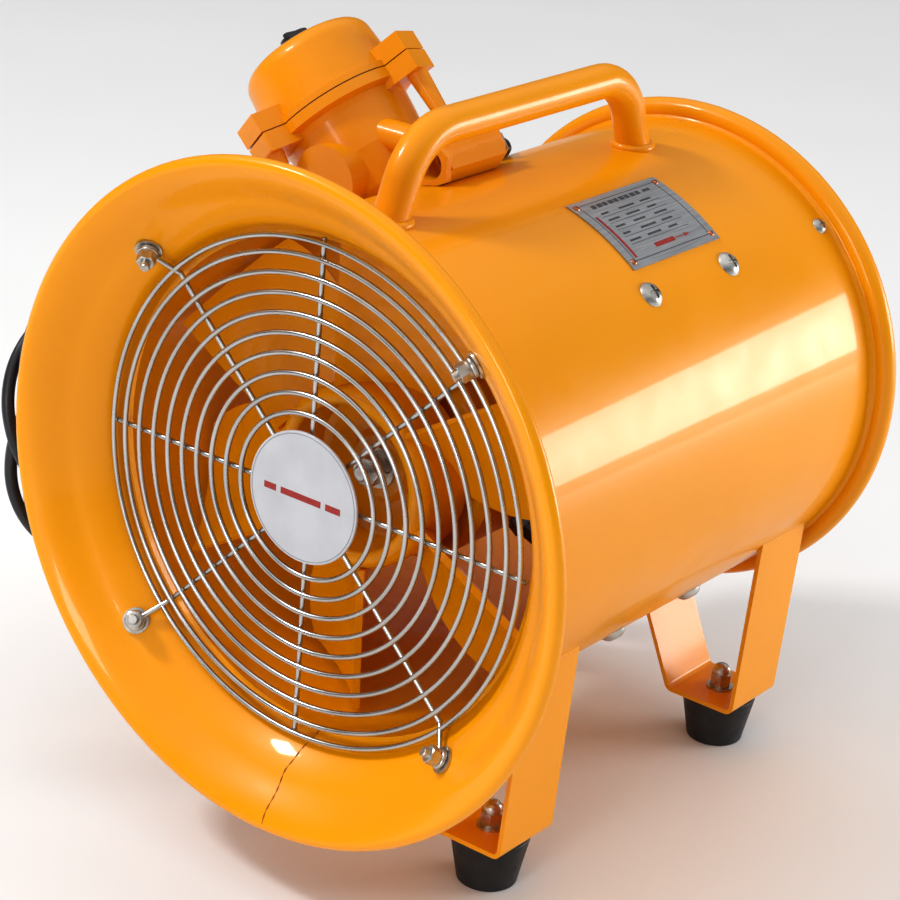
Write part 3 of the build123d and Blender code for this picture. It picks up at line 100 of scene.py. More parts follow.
class Finish:
    """A principled material whose colour, roughness and relief vary over the surface."""

    def __init__(self, name, colour, roughness, metallic=0.0):
        self.material = bpy.data.materials.new(name)
        self.material.use_nodes = True
        self.nodes = self.material.node_tree.nodes
        self.links = self.material.node_tree.links
        self.shader = self.nodes["Principled BSDF"]
        self.shader.inputs["Base Color"].default_value = (*colour, 1)
        self.shader.inputs["Roughness"].default_value = roughness
        self.shader.inputs["Metallic"].default_value = metallic
        self.place = self.nodes.new("ShaderNodeTexCoord").outputs["Object"]
        self.relief = None

    def socket(self, **values):
        """Sets the shader's own sockets."""
        for name, value in values.items():
            self.shader.inputs[name.replace("_", " ")].default_value = value
        return self

    def noise(self, scale, detail, stretch=(1, 1, 1)):
        """Noise with features of about 1 / scale metres, drawn out by stretch."""
        mapping = self.nodes.new("ShaderNodeMapping")
        mapping.inputs["Scale"].default_value = stretch
        self.links.new(self.place, mapping.inputs["Vector"])
        texture = self.nodes.new("ShaderNodeTexNoise")
        texture.inputs["Scale"].default_value = scale
        texture.inputs["Detail"].default_value = detail
        self.links.new(mapping.outputs["Vector"], texture.inputs["Vector"])
        return texture.outputs["Fac"]

    def cells(self, scale):
        """Cells of about 1 / scale metres."""
        texture = self.nodes.new("ShaderNodeTexVoronoi")
        texture.inputs["Scale"].default_value = scale
        self.links.new(self.place, texture.inputs["Vector"])
        return texture.outputs["Distance"]

    def stripes(self, scale, direction, distortion=0.0):
        """Stripes across a direction, which is X, Y, Z or DIAGONAL."""
        texture = self.nodes.new("ShaderNodeTexWave")
        texture.bands_direction = direction
        texture.inputs["Scale"].default_value = scale
        texture.inputs["Distortion"].default_value = distortion
        self.links.new(self.place, texture.inputs["Vector"])
        return texture.outputs["Fac"]

    def tint(self, value, *colours, start=NOISE_LOW, end=NOISE_HIGH):
        """The base colour runs through colours as value goes from start to end."""
        ramp = self.nodes.new("ShaderNodeValToRGB")
        stops = ramp.color_ramp.elements
        while len(stops) < len(colours):
            stops.new(0.5)
        for i, colour in enumerate(colours):
            stops[i].position = start + (end - start) * i / (len(colours) - 1)
            stops[i].color = (*colour, 1)
        self.links.new(value, ramp.inputs["Fac"])
        self.links.new(ramp.outputs["Color"], self.shader.inputs["Base Color"])
        return self

    def gloss(self, value, low, high):
        """The roughness runs from low to high."""
        node = self.nodes.new("ShaderNodeMapRange")
        node.inputs["From Min"].default_value = NOISE_LOW
        node.inputs["From Max"].default_value = NOISE_HIGH
        node.inputs["To Min"].default_value = low
        node.inputs["To Max"].default_value = high
        self.links.new(value, node.inputs["Value"])
        self.links.new(node.outputs["Result"], self.shader.inputs["Roughness"])
        return self

    def bump(self, value, distance, strength):
        """value raises the surface by up to distance metres, on top of what is there already."""
        node = self.nodes.new("ShaderNodeBump")
        node.inputs["Strength"].default_value = strength
        node.inputs["Distance"].default_value = distance
        self.links.new(value, node.inputs["Height"])
        if self.relief:
            self.links.new(self.relief, node.inputs["Normal"])
        self.relief = node.outputs["Normal"]
        self.links.new(self.relief, self.shader.inputs["Normal"])
        return self


def powder_coat():
    finish = Finish("orange_powder_coat", (0.85, 0.335, 0.0), 0.3)
    finish.tint(finish.noise(7, 2), (0.83, 0.325, 0.0), (0.88, 0.35, 0.0))
    finish.gloss(finish.noise(40, 3), 0.28, 0.38)
    finish.bump(finish.noise(420, 1), 0.00012, 0.25)
    finish.bump(finish.noise(90, 1), 0.0003, 0.12)
    return finish.socket(Coat_Weight=0.28, Coat_Roughness=0.06, Specular_IOR_Level=0.22).material


def cast_coat():
    finish = Finish("orange_cast_coat", (0.78, 0.30, 0.0), 0.36)
    finish.tint(finish.noise(12, 2), (0.75, 0.285, 0.0), (0.81, 0.315, 0.0))
    finish.gloss(finish.noise(60, 3), 0.30, 0.42)
    finish.bump(finish.noise(300, 2), 0.0004, 0.35)
    finish.bump(finish.noise(90, 1), 0.0008, 0.2)
    return finish.socket(Coat_Weight=0.28, Coat_Roughness=0.12, Specular_IOR_Level=0.22).material


def bright_zinc():
    finish = Finish("bright_zinc", (0.50, 0.50, 0.49), 0.28, 1.0)
    finish.tint(finish.noise(30, 2), (0.45, 0.45, 0.44), (0.55, 0.55, 0.54))
    finish.gloss(finish.noise(60, 2), 0.24, 0.33)
    return finish.bump(finish.noise(500, 1), 0.00004, 0.1).material


def dull_zinc():
    finish = Finish("dull_zinc", (0.52, 0.51, 0.48), 0.35, 1.0)
    finish.tint(finish.noise(110, 4), (0.40, 0.39, 0.36), (0.54, 0.53, 0.50), (0.66, 0.65, 0.61))
    finish.gloss(finish.noise(300, 4), 0.25, 0.46)
    return finish.bump(finish.noise(700, 3), 0.0001, 0.4).material


def machined_steel():
    finish = Finish("machined_steel", (0.6, 0.6, 0.61), 0.3, 1.0)
    finish.gloss(finish.noise(200, 3, (1, 6, 1)), 0.22, 0.4)
    return finish.bump(finish.noise(500, 2, (1, 8, 1)), 0.00008, 0.4).material


def foot_rubber():
    finish = Finish("foot_rubber", (0.012, 0.012, 0.013), 0.5)
    finish.tint(finish.noise(70, 4), (0.008, 0.008, 0.009), (0.02, 0.02, 0.021))
    finish.gloss(finish.noise(120, 4), 0.42, 0.62)
    finish.bump(finish.noise(900, 3), 0.0002, 0.5)
    return finish.socket(Specular_IOR_Level=0.45).material


def cable_sheath():
    finish = Finish("cable_sheath", (0.014, 0.013, 0.016), 0.4)
    finish.tint(finish.noise(35, 3), (0.010, 0.010, 0.012), (0.022, 0.021, 0.025))
    finish.gloss(finish.noise(90, 4), 0.32, 0.5)
    return finish.bump(finish.noise(1200, 2), 0.0001, 0.4).material


def black_moulding():
    finish = Finish("black_moulding", (0.015, 0.015, 0.016), 0.35)
    finish.tint(finish.noise(50, 3), (0.012, 0.012, 0.013), (0.02, 0.02, 0.021))
    finish.gloss(finish.noise(200, 4), 0.28, 0.45)
    return finish.bump(finish.cells(900), 0.00012, 0.4).material


def disc_enamel():
    finish = Finish("disc_enamel", (0.50, 0.51, 0.54), 0.34)
    finish.tint(finish.noise(45, 3), (0.47, 0.48, 0.51), (0.53, 0.54, 0.57))
    finish.gloss(finish.noise(140, 3), 0.28, 0.42)
    finish.bump(finish.noise(500, 2), 0.0001, 0.25)
    return finish.socket(Coat_Weight=0.3, Coat_Roughness=0.15).material


def brushed_plate():
    finish = Finish("brushed_plate", (0.42, 0.43, 0.45), 0.35, 0.85)
    finish.tint(finish.noise(260, 3, (4, 0.15, 4)), (0.34, 0.35, 0.37), (0.50, 0.51, 0.53))
    finish.gloss(finish.noise(300, 3, (4, 0.15, 4)), 0.26, 0.42)
    return finish.bump(finish.noise(700, 2, (4, 0.1, 4)), 0.00006, 0.5).material


def plate_ink(name, dark, light):
    finish = Finish(name, dark, 0.5)
    finish.tint(finish.noise(500, 4), dark, light)
    return finish.bump(finish.noise(900, 2), 0.00003, 0.4).material


def copper_rivet():
    finish = Finish("copper_rivet", (0.55, 0.2, 0.1), 0.35, 0.9)
    finish.tint(finish.noise(500, 3), (0.42, 0.13, 0.06), (0.62, 0.26, 0.14))
    return finish.bump(finish.noise(900, 2), 0.00005, 0.4).material


def winding_varnish():
    finish = Finish("winding_varnish", (0.45, 0.14, 0.04), 0.3, 0.6)
    finish.tint(finish.noise(150, 3), (0.35, 0.10, 0.03), (0.55, 0.20, 0.06))
    return finish.bump(finish.stripes(400, "DIAGONAL", 3), 0.0005, 0.6).material


def laminations():
    finish = Finish("laminations", (0.32, 0.32, 0.33), 0.4, 0.9)
    finish.tint(finish.noise(100, 3), (0.25, 0.25, 0.26), (0.38, 0.38, 0.39))
    return finish.bump(finish.stripes(300, "Y"), 0.0002, 0.5).material


def terminal_plastic():
    finish = Finish("terminal_plastic", (0.75, 0.73, 0.66), 0.45)
    finish.tint(finish.noise(80, 3), (0.70, 0.68, 0.61), (0.79, 0.77, 0.70))
    return finish.bump(finish.noise(700, 2), 0.0001, 0.4).material


def strap_webbing():
    finish = Finish("strap_webbing", (0.02, 0.02, 0.022), 0.75)
    finish.tint(finish.cells(1100), (0.012, 0.012, 0.013), (0.035, 0.035, 0.038), start=0.1, end=0.6)
    finish.bump(finish.cells(1100), 0.0004, 0.8)
    return finish.socket(Sheen_Weight=0.3, Sheen_Roughness=0.4).material


def pin_nickel():
    finish = Finish("pin_nickel", (0.74, 0.71, 0.64), 0.22, 1.0)
    finish.tint(finish.noise(180, 3), (0.68, 0.65, 0.58), (0.78, 0.75, 0.69))
    return finish.bump(finish.noise(900, 2), 0.00005, 0.4).material


# A deeper red-orange copy of the orange paint: painted shade for the gap of the bell's open seam.
def seam_shade_line():
    finish = Finish("seam_shade_line", (0.35, 0.09, 0.002), 0.5)
    finish.tint(finish.noise(400, 3), (0.22, 0.05, 0.001), (0.5, 0.15, 0.003))
    return finish.bump(finish.noise(900, 2), 0.0002, 0.5).material


def studio_floor():
    finish = Finish("studio_floor", (0.84, 0.84, 0.84), 0.65)
    finish.tint(finish.noise(3, 2), (0.83, 0.83, 0.83), (0.85, 0.85, 0.85))
    return finish.bump(finish.noise(60, 2), 0.0002, 0.05).material


PAINT = powder_coat()
CAST = cast_coat()
ZINC = bright_zinc()
DULL_ZINC = dull_zinc()
STEEL = machined_steel()
RUBBER = foot_rubber()
SHEATH = cable_sheath()
MOULDING = black_moulding()
PLATE = brushed_plate()
INK = plate_ink("plate_ink", (0.03, 0.03, 0.035), (0.08, 0.08, 0.085))
RED_INK = plate_ink("plate_red_ink", (0.25, 0.012, 0.01), (0.38, 0.03, 0.02))
# Grey for the line of painted shadow round the grille disc's rim.
DISC_RIM_SHADOW = plate_ink("disc_rim_shadow_grey", (0.20, 0.20, 0.22), (0.30, 0.30, 0.32))
WEBBING = strap_webbing()
PINS = pin_nickel()
SEAM_SHADE = seam_shade_line()

node_finishes = {
    "duct_housing inlet_bell motor_shell motor_front_cover motor_rear_cover motor_brackets": PAINT,
    "carry_handle leg_front_left leg_front_right leg_rear_left leg_rear_right": PAINT,
    "impeller_hub impeller_blades cord_peg": PAINT,
    "junction_box_base junction_box_lid outlet_elbow box_nipple": CAST,
    "front_grille rear_grille": ZINC,
    "grille_bolts grille_washers grille_nuts rear_grille_screws rear_grille_nuts": DULL_ZINC,
    "motor_cover_screws motor_bracket_screws motor_bracket_nuts hub_nut hub_washers": DULL_ZINC,
    "foot_bolts foot_washers foot_nuts lid_screws cord_gland": DULL_ZINC,
    "motor_shaft motor_bearings": STEEL,
    "rotor_core stator_core": laminations(),
    "stator_windings": winding_varnish(),
    "foot_front_left foot_front_right foot_rear_left foot_rear_right lid_gasket": RUBBER,
    "cord_boot motor_lead_gland": MOULDING,
    "motor_lead": SHEATH,
    "switch_body switch_knob start_capacitor": MOULDING,
    "terminal_block": terminal_plastic(),
    "grille_disc": disc_enamel(),
    "nameplate": PLATE,
    "nameplate_rivets": copper_rivet(),
}


def dress_nodes():
    for names, material in node_finishes.items():
        for name in names.split():
            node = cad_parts[name]
            for slot in node.material_slots:
                slot.material = material


dress_nodes()


# ---------------------------------------------------------------- mesh helpers
def add_piece(name, data, material, smooth=True):
    """Links a mesh or a curve as a piece that rides on the housing."""
    piece = bpy.data.objects.new(name, data)
    bpy.context.collection.objects.link(piece)
    data.materials.append(material)
    if smooth and isinstance(data, bpy.types.Mesh):
        for face in data.polygons:
            face.use_smooth = True
    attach(piece, "housing")
    return piece


def lofted(name, rings, looped=False):
    """A closed mesh skinned over rings, lists of equally many points, which looped joins end to end."""
    mesh = bmesh.new()
    rows = [[mesh.verts.new(point) for point in ring] for ring in rings]
    pairs = list(zip(rows, rows[1:]))
    if looped:
        pairs.append((rows[-1], rows[0]))
    for row, following in pairs:
        for i in range(len(row)):
            j = (i + 1) % len(row)
            mesh.faces.new((row[i], row[j], following[j], following[i]))
    if not looped:
        mesh.faces.new(reversed(rows[0]))
        mesh.faces.new(rows[-1])
    bmesh.ops.recalc_face_normals(mesh, faces=mesh.faces)
    data = bpy.data.meshes.new(name)
    mesh.to_mesh(data)
    mesh.free()
    return data


WELD_PITCH = 4 * MM


def bead(name, points, radius, material=PAINT, ripple=0.0, pitch=WELD_PITCH):
    """A weld bead or line along points, rippled every pitch metres."""
    curve = bpy.data.curves.new(name, "CURVE")
    curve.dimensions = "3D"
    curve.bevel_depth = radius
    curve.bevel_resolution = 3
    curve.use_fill_caps = True
    line = curve.splines.new("POLY")
    line.points.add(len(points) - 1)
    travelled = 0.0
    for i, point in enumerate(points):
        if i:
            travelled += (point - points[i - 1]).length
        line.points[i].co = (*point, 1)
        line.points[i].radius = 1 + ripple * sin(2 * pi * travelled / pitch)
    return add_piece(name, curve, material)


# ---------------------------------------------------------------- power cord, coil and tail
CORD_R = 4 * MM
COIL_X, COIL_D, COIL_Z = -201, 135, -28
COIL_R = 116 * MM
COIL_TILT = radians(13.5)
COIL_TURNS = 3
TURN_POINTS = 36
TWISTS = 4
TURN_SPREAD = 7.8 * MM
LOOSE_SPREAD = 1.7 * MM
STRAP_ANGLE = radians(-70)
STRAP_GRIP = radians(14)
GRIP_DEPTH = 1.6 * MM


def cord_point(x, d, z):
    """A point of the cord's route in millimetres, with x and z measured from the fan axis."""
    return Vector((FAN_X + x * MM, INLET_Y + d * MM, AXIS_Z + z * MM))


coil_centre = cord_point(COIL_X, COIL_D, COIL_Z)
coil_along = Vector((sin(COIL_TILT), cos(COIL_TILT), 0))
coil_outward = Vector((-cos(COIL_TILT), sin(COIL_TILT), 0))
UP = Vector((0, 0, 1))

cord_route = [
    cord_point(-51.32, 263.54, 150.51),
    cord_point(-57.80, 279.62, 145.65),
    cord_point(-84, 303, 136),
    cord_point(-115, 312, 116),
    cord_point(-144, 304, 86),
    cord_point(-163, 284, 54),
    cord_point(-173, 264, 22),
    cord_point(-176, 250, -6),
]
tail_route = [
    cord_point(-174, 254.5, -51),
    cord_point(-173.5, 262.5, -71),
    cord_point(-175, 268, -94),
    cord_point(-176, 268.5, -114),
]


def coil_turns():
    """Turns that start and end at the coil's rear and twist round its core, drawn in by the tie."""
    points = []
    for i in range(COIL_TURNS * TURN_POINTS + 1):
        turn = i / TURN_POINTS
        phase = -2 * pi * turn
        from_strap = (phase - STRAP_ANGLE + pi) % (2 * pi) - pi
        grip = GRIP_DEPTH * exp(-((from_strap / STRAP_GRIP) ** 2))
        spread = TURN_SPREAD + LOOSE_SPREAD * (1 - sin(phase)) / 2 - grip
        around = pi / 2 + (pi / 2 + 2 * pi * TWISTS) * turn
        ray = coil_along * cos(phase) + UP * sin(phase)
        radius = COIL_R / cos(pi / TURN_POINTS) + spread * cos(around)
        points.append(coil_centre + ray * radius + coil_outward * spread * sin(around))
    return points


def make_cord():
    curve = bpy.data.curves.new("power_cord_line", "CURVE")
    curve.dimensions = "3D"
    curve.bevel_depth = CORD_R
    curve.bevel_resolution = 6
    curve.resolution_u = 8
    curve.use_fill_caps = True
    points = cord_route + coil_turns() + tail_route
    line = curve.splines.new("NURBS")
    line.points.add(len(points) - 1)
    for point, place in zip(line.points, points):
        point.co = (*place, 1)
    line.order_u = 3
    line.use_endpoint_u = True
    cord = add_piece("power_cord_line", curve, SHEATH)
    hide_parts("power_cord", "cord_coil", "cord_tail")
    return cord


cord = make_cord()


# ---------------------------------------------------------------- plug
PLUG_RELIEF = 26 * MM
PLUG_BODY = 32 * MM
PIN_LENGTH = 17 * MM
PIN_ROOT = 1 * MM
BLADE_SPREAD = 12.7 * MM
BLADE_DEEP = -4.5 * MM
BLADE_HALF = (0.75 * MM, 3.15 * MM)
GROUND_DEEP = 7.4 * MM
GROUND_HALF = (2.4 * MM, 2.4 * MM)
RELIEF_R = (5.3 * MM, 7.8 * MM)
RELIEF_RIBS = 6
RELIEF_RIB_HEIGHT = 0.5 * MM
RELIEF_STEPS = 48
# share of the body's length, half width and half depth in millimetres, squareness
PLUG_PROFILE = (
    (0.0, 8.6, 8.4, 2.0), (0.05, 10.0, 9.6, 2.2), (0.14, 11.6, 11.2, 2.5),
    (0.26, 12.9, 12.4, 2.8), (0.36, 13.3, 12.8, 3.0), (0.40, 12.7, 12.2, 3.0),
    (0.62, 12.7, 12.2, 3.0), (0.66, 13.5, 13.0, 3.1), (0.94, 13.9, 13.4, 3.2),
    (0.98, 13.7, 13.2, 3.2), (1.0, 13.1, 12.6, 3.2),
)
plug_down = (tail_route[-1] - tail_route[-2]).normalized()
plug_wide = (Vector((0, 1, 0)) - plug_down * plug_down.y).normalized()
plug_deep = plug_down.cross(plug_wide)


def plug_ring(height, half_wide, half_deep, squareness, points=48):
    """A rounded rectangle across the plug. squareness 2 is an ellipse and more is squarer."""
    ring = []
    for i in range(points):
        angle = 2 * pi * i / points
        c, s = cos(angle), sin(angle)
        wide = half_wide * abs(c) ** (2 / squareness) * (1 if c >= 0 else -1)
        deep = half_deep * abs(s) ** (2 / squareness) * (1 if s >= 0 else -1)
        ring.append(tail_route[-1] + plug_down * height + plug_wide * wide + plug_deep * deep)
    return ring


def make_plug():
    """A ribbed relief that widens into a body with a waist for the fingers."""
    rings = []
    for i in range(RELIEF_STEPS):
        share = i / RELIEF_STEPS
        rib = RELIEF_RIB_HEIGHT * sin(2 * pi * RELIEF_RIBS * share) if 0.06 < share < 0.94 else 0
        radius = RELIEF_R[0] + (RELIEF_R[1] - RELIEF_R[0]) * share + rib
        rings.append(plug_ring(PLUG_RELIEF * share, radius, radius, 2))
    for share, wide, deep, squareness in PLUG_PROFILE:
        rings.append(plug_ring(PLUG_RELIEF + PLUG_BODY * share, wide * MM, deep * MM, squareness))
    body = add_piece("plug_body", lofted("plug_body", rings), MOULDING)
    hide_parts("power_plug")
    return body


def pin_ring(centre_wide, centre_deep, height, half_wide, half_deep, squareness):
    """A ring across a pin that stands off the plug's middle."""
    ring = plug_ring(height, half_wide, half_deep, squareness, 24)
    shift = plug_wide * centre_wide + plug_deep * centre_deep
    return [point + shift for point in ring]


def make_pins():
    """Two flat blades and a round ground pin, with rounded tips."""
    root = PLUG_RELIEF + PLUG_BODY - PIN_ROOT
    tip = PLUG_RELIEF + PLUG_BODY + PIN_LENGTH
    stations = ((root, 1), (tip - 2.2 * MM, 1), (tip - 0.6 * MM, 0.82), (tip, 0.5))
    pins = []
    for name, wide, deep, half, squareness in (
        ("blade_left", -BLADE_SPREAD / 2, BLADE_DEEP, BLADE_HALF, 5),
        ("blade_right", BLADE_SPREAD / 2, BLADE_DEEP, BLADE_HALF, 5),
        ("ground_pin", 0, GROUND_DEEP, GROUND_HALF, 2),
    ):
        rings = [
            pin_ring(wide, deep, height, half[0] * grow, half[1] * grow, squareness)
            for height, grow in stations
        ]
        pin = add_piece("plug_" + name, lofted("plug_" + name, rings), PINS)
        pins.append(pin)
    return pins


plug = make_plug()
pins = make_pins()


# ---------------------------------------------------------------- tie round the coil
STRAP_HALF_WIDTH = 6 * MM
STRAP_THICKNESS = 1.3 * MM
STRAP_INNER_R = 12.4 * MM
STRAP_EDGE = 0.5 * MM
STRAP_STEPS = 64
FLAP_START, FLAP_END = 8, 30
FLAP_LIFT = STRAP_THICKNESS + 0.1 * MM
strap_ray = coil_along * cos(STRAP_ANGLE) + UP * sin(STRAP_ANGLE)
strap_along = UP * cos(STRAP_ANGLE) - coil_along * sin(STRAP_ANGLE)
strap_centre = coil_centre + strap_ray * COIL_R


def strap_section(step, lift=0.0):
    """A flat band with rounded edges, at a step round the coil's section."""
    angle = 2 * pi * step / STRAP_STEPS
    ray = strap_ray * cos(angle) + coil_outward * sin(angle)
    side, flat = STRAP_HALF_WIDTH, STRAP_HALF_WIDTH - STRAP_EDGE
    top = STRAP_THICKNESS
    outline = [(-side, STRAP_EDGE), (-flat, 0), (flat, 0), (side, STRAP_EDGE)]
    outline += [(side, top - STRAP_EDGE), (flat, top), (-flat, top), (-side, top - STRAP_EDGE)]
    return [
        strap_centre + strap_along * across + ray * (STRAP_INNER_R + height + lift)
        for across, height in outline
    ]


def make_tie():
    """A band round the turns and the flap that lies on it."""
    rings = [strap_section(step) for step in range(STRAP_STEPS)]
    tie = add_piece("tie_strap", lofted("tie_strap", rings, looped=True), WEBBING)
    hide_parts("cord_tie")
    rings = [strap_section(step, FLAP_LIFT) for step in range(FLAP_START, FLAP_END)]
    flap = add_piece("tie_flap", lofted("tie_flap", rings), WEBBING)
    return [tie, flap]


tie_pieces = make_tie()


# ---------------------------------------------------------------- seams and welds
FAIRING_START = 0.62
FAIRING_STEPS = 240
FAIRING_ROWS = 16
FAIRING_SINK = 0.5 * MM
RIM_R = (bell_high.x - bell_low.x) / 2 - BELL_BEAD_R
RIM_HEADING = (-0.35, 0.94)


def flare_circle(share):
    """(d, r) on the flare, a circle through the throat, the middle and the crease."""
    (ax, ay), (bx, by), (cx, cy) = FLARE_THROAT, FLARE_MIDDLE, FLARE_CREASE
    span = 2 * (ax * (by - cy) + bx * (cy - ay) + cx * (ay - by))
    a2, b2, c2 = ax**2 + ay**2, bx**2 + by**2, cx**2 + cy**2
    ux = (a2 * (by - cy) + b2 * (cy - ay) + c2 * (ay - by)) / span
    uy = (a2 * (cx - bx) + b2 * (ax - cx) + c2 * (bx - ax)) / span
    radius = sqrt((ax - ux) ** 2 + (ay - uy) ** 2)
    start, end = atan2(ay - uy, ax - ux), atan2(cy - uy, cx - ux)
    angle = start + (end - start) * share
    return ux + radius * cos(angle), uy + radius * sin(angle)


def bell_profile(share):
    """(d, r) on the bell's visible inside, which leaves the flare and runs on to the rim's bead."""
    if share <= FAIRING_START:
        return flare_circle(share)
    start = Vector(flare_circle(FAIRING_START))
    heading = (start - Vector(flare_circle(FAIRING_START - 0.01))).normalized()
    end = Vector((RIM_HEADING[1] * -BELL_BEAD_R, RIM_R + RIM_HEADING[0] * BELL_BEAD_R))
    reach = (end - start).length
    t = (share - FAIRING_START) / (1 - FAIRING_START)
    spot = start * (2 * t**3 - 3 * t**2 + 1) + end * (3 * t**2 - 2 * t**3)
    spot += heading * reach * (t**3 - 2 * t**2 + t) + Vector(RIM_HEADING) * reach * (t**3 - t**2)
    return tuple(spot)


def flare_point(share, theta, lift):
    """A point on the inside of the bell: share 0 is the throat, 1 the rim's bead."""
    curve = bell_profile(share)
    ahead = bell_profile(min(share + 0.01, 1.0))
    behind = bell_profile(max(share - 0.01, 0.0))
    run_d, run_r = ahead[0] - behind[0], ahead[1] - behind[1]
    size = sqrt(run_d**2 + run_r**2)
    return duct_point(curve[0] - lift * run_r / size, theta, curve[1] + lift * run_d / size)


def make_rim_fairing():
    """Fills the crease between the flare and the rim's bead with one smooth sweep."""
    shares = [FAIRING_START + (1 - FAIRING_START) * i / FAIRING_ROWS for i in range(FAIRING_ROWS + 1)]
    section = [bell_profile(share) for share in shares]
    for share in (1.0, 0.9, 0.8, 0.7, FAIRING_START + 0.01):
        d, r = flare_circle(share)
        section.append((d + FAIRING_SINK, r + FAIRING_SINK))
    rings = [
        [duct_point(d, 360 * i / FAIRING_STEPS, r) for d, r in section] for i in range(FAIRING_STEPS)
    ]
    fairing = add_piece("rim_fairing", lofted("rim_fairing", rings, looped=True), PAINT)
    fairing.data.set_sharp_from_angle(angle=radians(50))


make_rim_fairing()
SEAM_THETA = -86.5
SEAM_LEAN = -1.2
SEAM_STEPS = 60
SEAM_R = 0.35 * MM
SEAM_LIFT = 0.05 * MM


def make_bell_seam_shade():
    """The thin open seam from the throat to the rim, which wanders a little, drawn as a dark red-orange
    line of painted shade.
    """
    points = []
    for i in range(SEAM_STEPS + 1):
        share = i / SEAM_STEPS
        wander = 0.5 * sin(7 * share + 1) + 0.15 * sin(19 * share)
        points.append(flare_point(share, SEAM_THETA + wander + SEAM_LEAN * share, SEAM_LIFT))
    bead("bell_seam_shade", points, SEAM_R, SEAM_SHADE, 0.5, 6 * MM)


make_bell_seam_shade()
LEG_ARMS = (("outer", -36.9), ("inner", -76.4))
ARM_EDGES = (("a", -0.75), ("b", 0.75))
LEG_WELD_R = 1.3 * MM
LEG_WELD_INSET = 1 * MM
DUCT_SEAM = (50 * MM, 404 * MM)
DUCT_SEAM_THETA = -90
DUCT_SEAM_R = 1.1 * MM
COLLAR_D = 48 * MM
COLLAR_STEPS = 720
COLLAR_WELD_R = 0.55 * MM
BEAD_STEP = 1.2 * MM


def duct_bead(name, d_start, d_end, theta, radius, ripple=0.18):
    """A weld bead that runs along the duct."""
    steps = int((d_end - d_start) / BEAD_STEP)
    points = [
        duct_point(d_start + (d_end - d_start) * i / steps, theta, DUCT_R) for i in range(steps + 1)
    ]
    bead(name, points, radius, PAINT, ripple)


def make_leg_welds():
    """A bead along both edges of each arm of a leg."""
    for leg in ("front_left", "front_right", "rear_left", "rear_right"):
        low, high = (Vector(corner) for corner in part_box("leg_" + leg))
        start, end = low.y - INLET_Y + LEG_WELD_INSET, high.y - INLET_Y - LEG_WELD_INSET
        for arm, theta in LEG_ARMS:
            for edge, shift in ARM_EDGES:
                angle = theta + shift if "right" in leg else 180 - theta - shift
                duct_bead(f"weld_{leg}_{arm}_{edge}", start, end, angle, LEG_WELD_R)


make_leg_welds()
duct_bead("duct_seam", *DUCT_SEAM, DUCT_SEAM_THETA, DUCT_SEAM_R, 0.12)


def make_collar_weld():
    """The low bead where the bell meets the duct."""
    points = [
        duct_point(COLLAR_D, 360 * i / COLLAR_STEPS, DUCT_R + 0.1 * MM) for i in range(COLLAR_STEPS + 1)
    ]
    bead("collar_weld", points, COLLAR_WELD_R, PAINT, 0.1, 5 * MM)


make_collar_weld()


# ---------------------------------------------------------------- nameplate print
PLATE_D = (206 * MM, 298 * MM)
PLATE_THETA = (53.0, 75.0)
PLATE_TOP = DUCT_R + 0.85 * MM
INK_THICKNESS = 0.08 * MM
INK_SINK = 0.02 * MM
PATCH_STEPS = 10


def plate_point(across, up, lift):
    """across runs from the inlet end to the outlet end and up from the lower edge, both 0 to 1."""
    d = PLATE_D[0] + (PLATE_D[1] - PLATE_D[0]) * across
    theta = PLATE_THETA[0] + (PLATE_THETA[1] - PLATE_THETA[0]) * up
    return duct_point(d, theta, PLATE_TOP + lift)


def plate_patch(name, corners, material=INK):
    """A thin printed patch over a quadrilateral given as (across, up) corners, in order."""
    mesh = bmesh.new()
    steps = PATCH_STEPS
    grids = []
    for lift in (-INK_SINK, INK_THICKNESS):
        grid = []
        for i in range(steps + 1):
            s = i / steps
            row = []
            for j in range(steps + 1):
                t = j / steps
                low = [corners[0][k] * (1 - s) + corners[1][k] * s for k in (0, 1)]
                high = [corners[3][k] * (1 - s) + corners[2][k] * s for k in (0, 1)]
                spot = [low[k] * (1 - t) + high[k] * t for k in (0, 1)]
                row.append(mesh.verts.new(plate_point(*spot, lift)))
            grid.append(row)
        grids.append(grid)
    for grid in grids:
        for i in range(steps):
            for j in range(steps):
                mesh.faces.new((grid[i][j], grid[i + 1][j], grid[i + 1][j + 1], grid[i][j + 1]))
    below, above = grids
    border = [(i, 0) for i in range(steps)] + [(steps, j) for j in range(steps)]
    border += [(i, steps) for i in range(steps, 0, -1)] + [(0, j) for j in range(steps, 0, -1)]
    for (i, j), (k, m) in zip(border, border[1:] + border[:1]):
        mesh.faces.new((below[i][j], below[k][m], above[k][m], above[i][j]))
    bmesh.ops.recalc_face_normals(mesh, faces=mesh.faces)
    data = bpy.data.meshes.new(name)
    mesh.to_mesh(data)
    mesh.free()
    add_piece(name, data, material, smooth=False)


def plate_bar(name, across, up, material=INK):
    """A printed bar that fills the ranges across and up."""
    (a0, a1), (u0, u1) = across, up
    plate_patch(name, ((a0, u0), (a1, u0), (a1, u1), (a0, u1)), material)


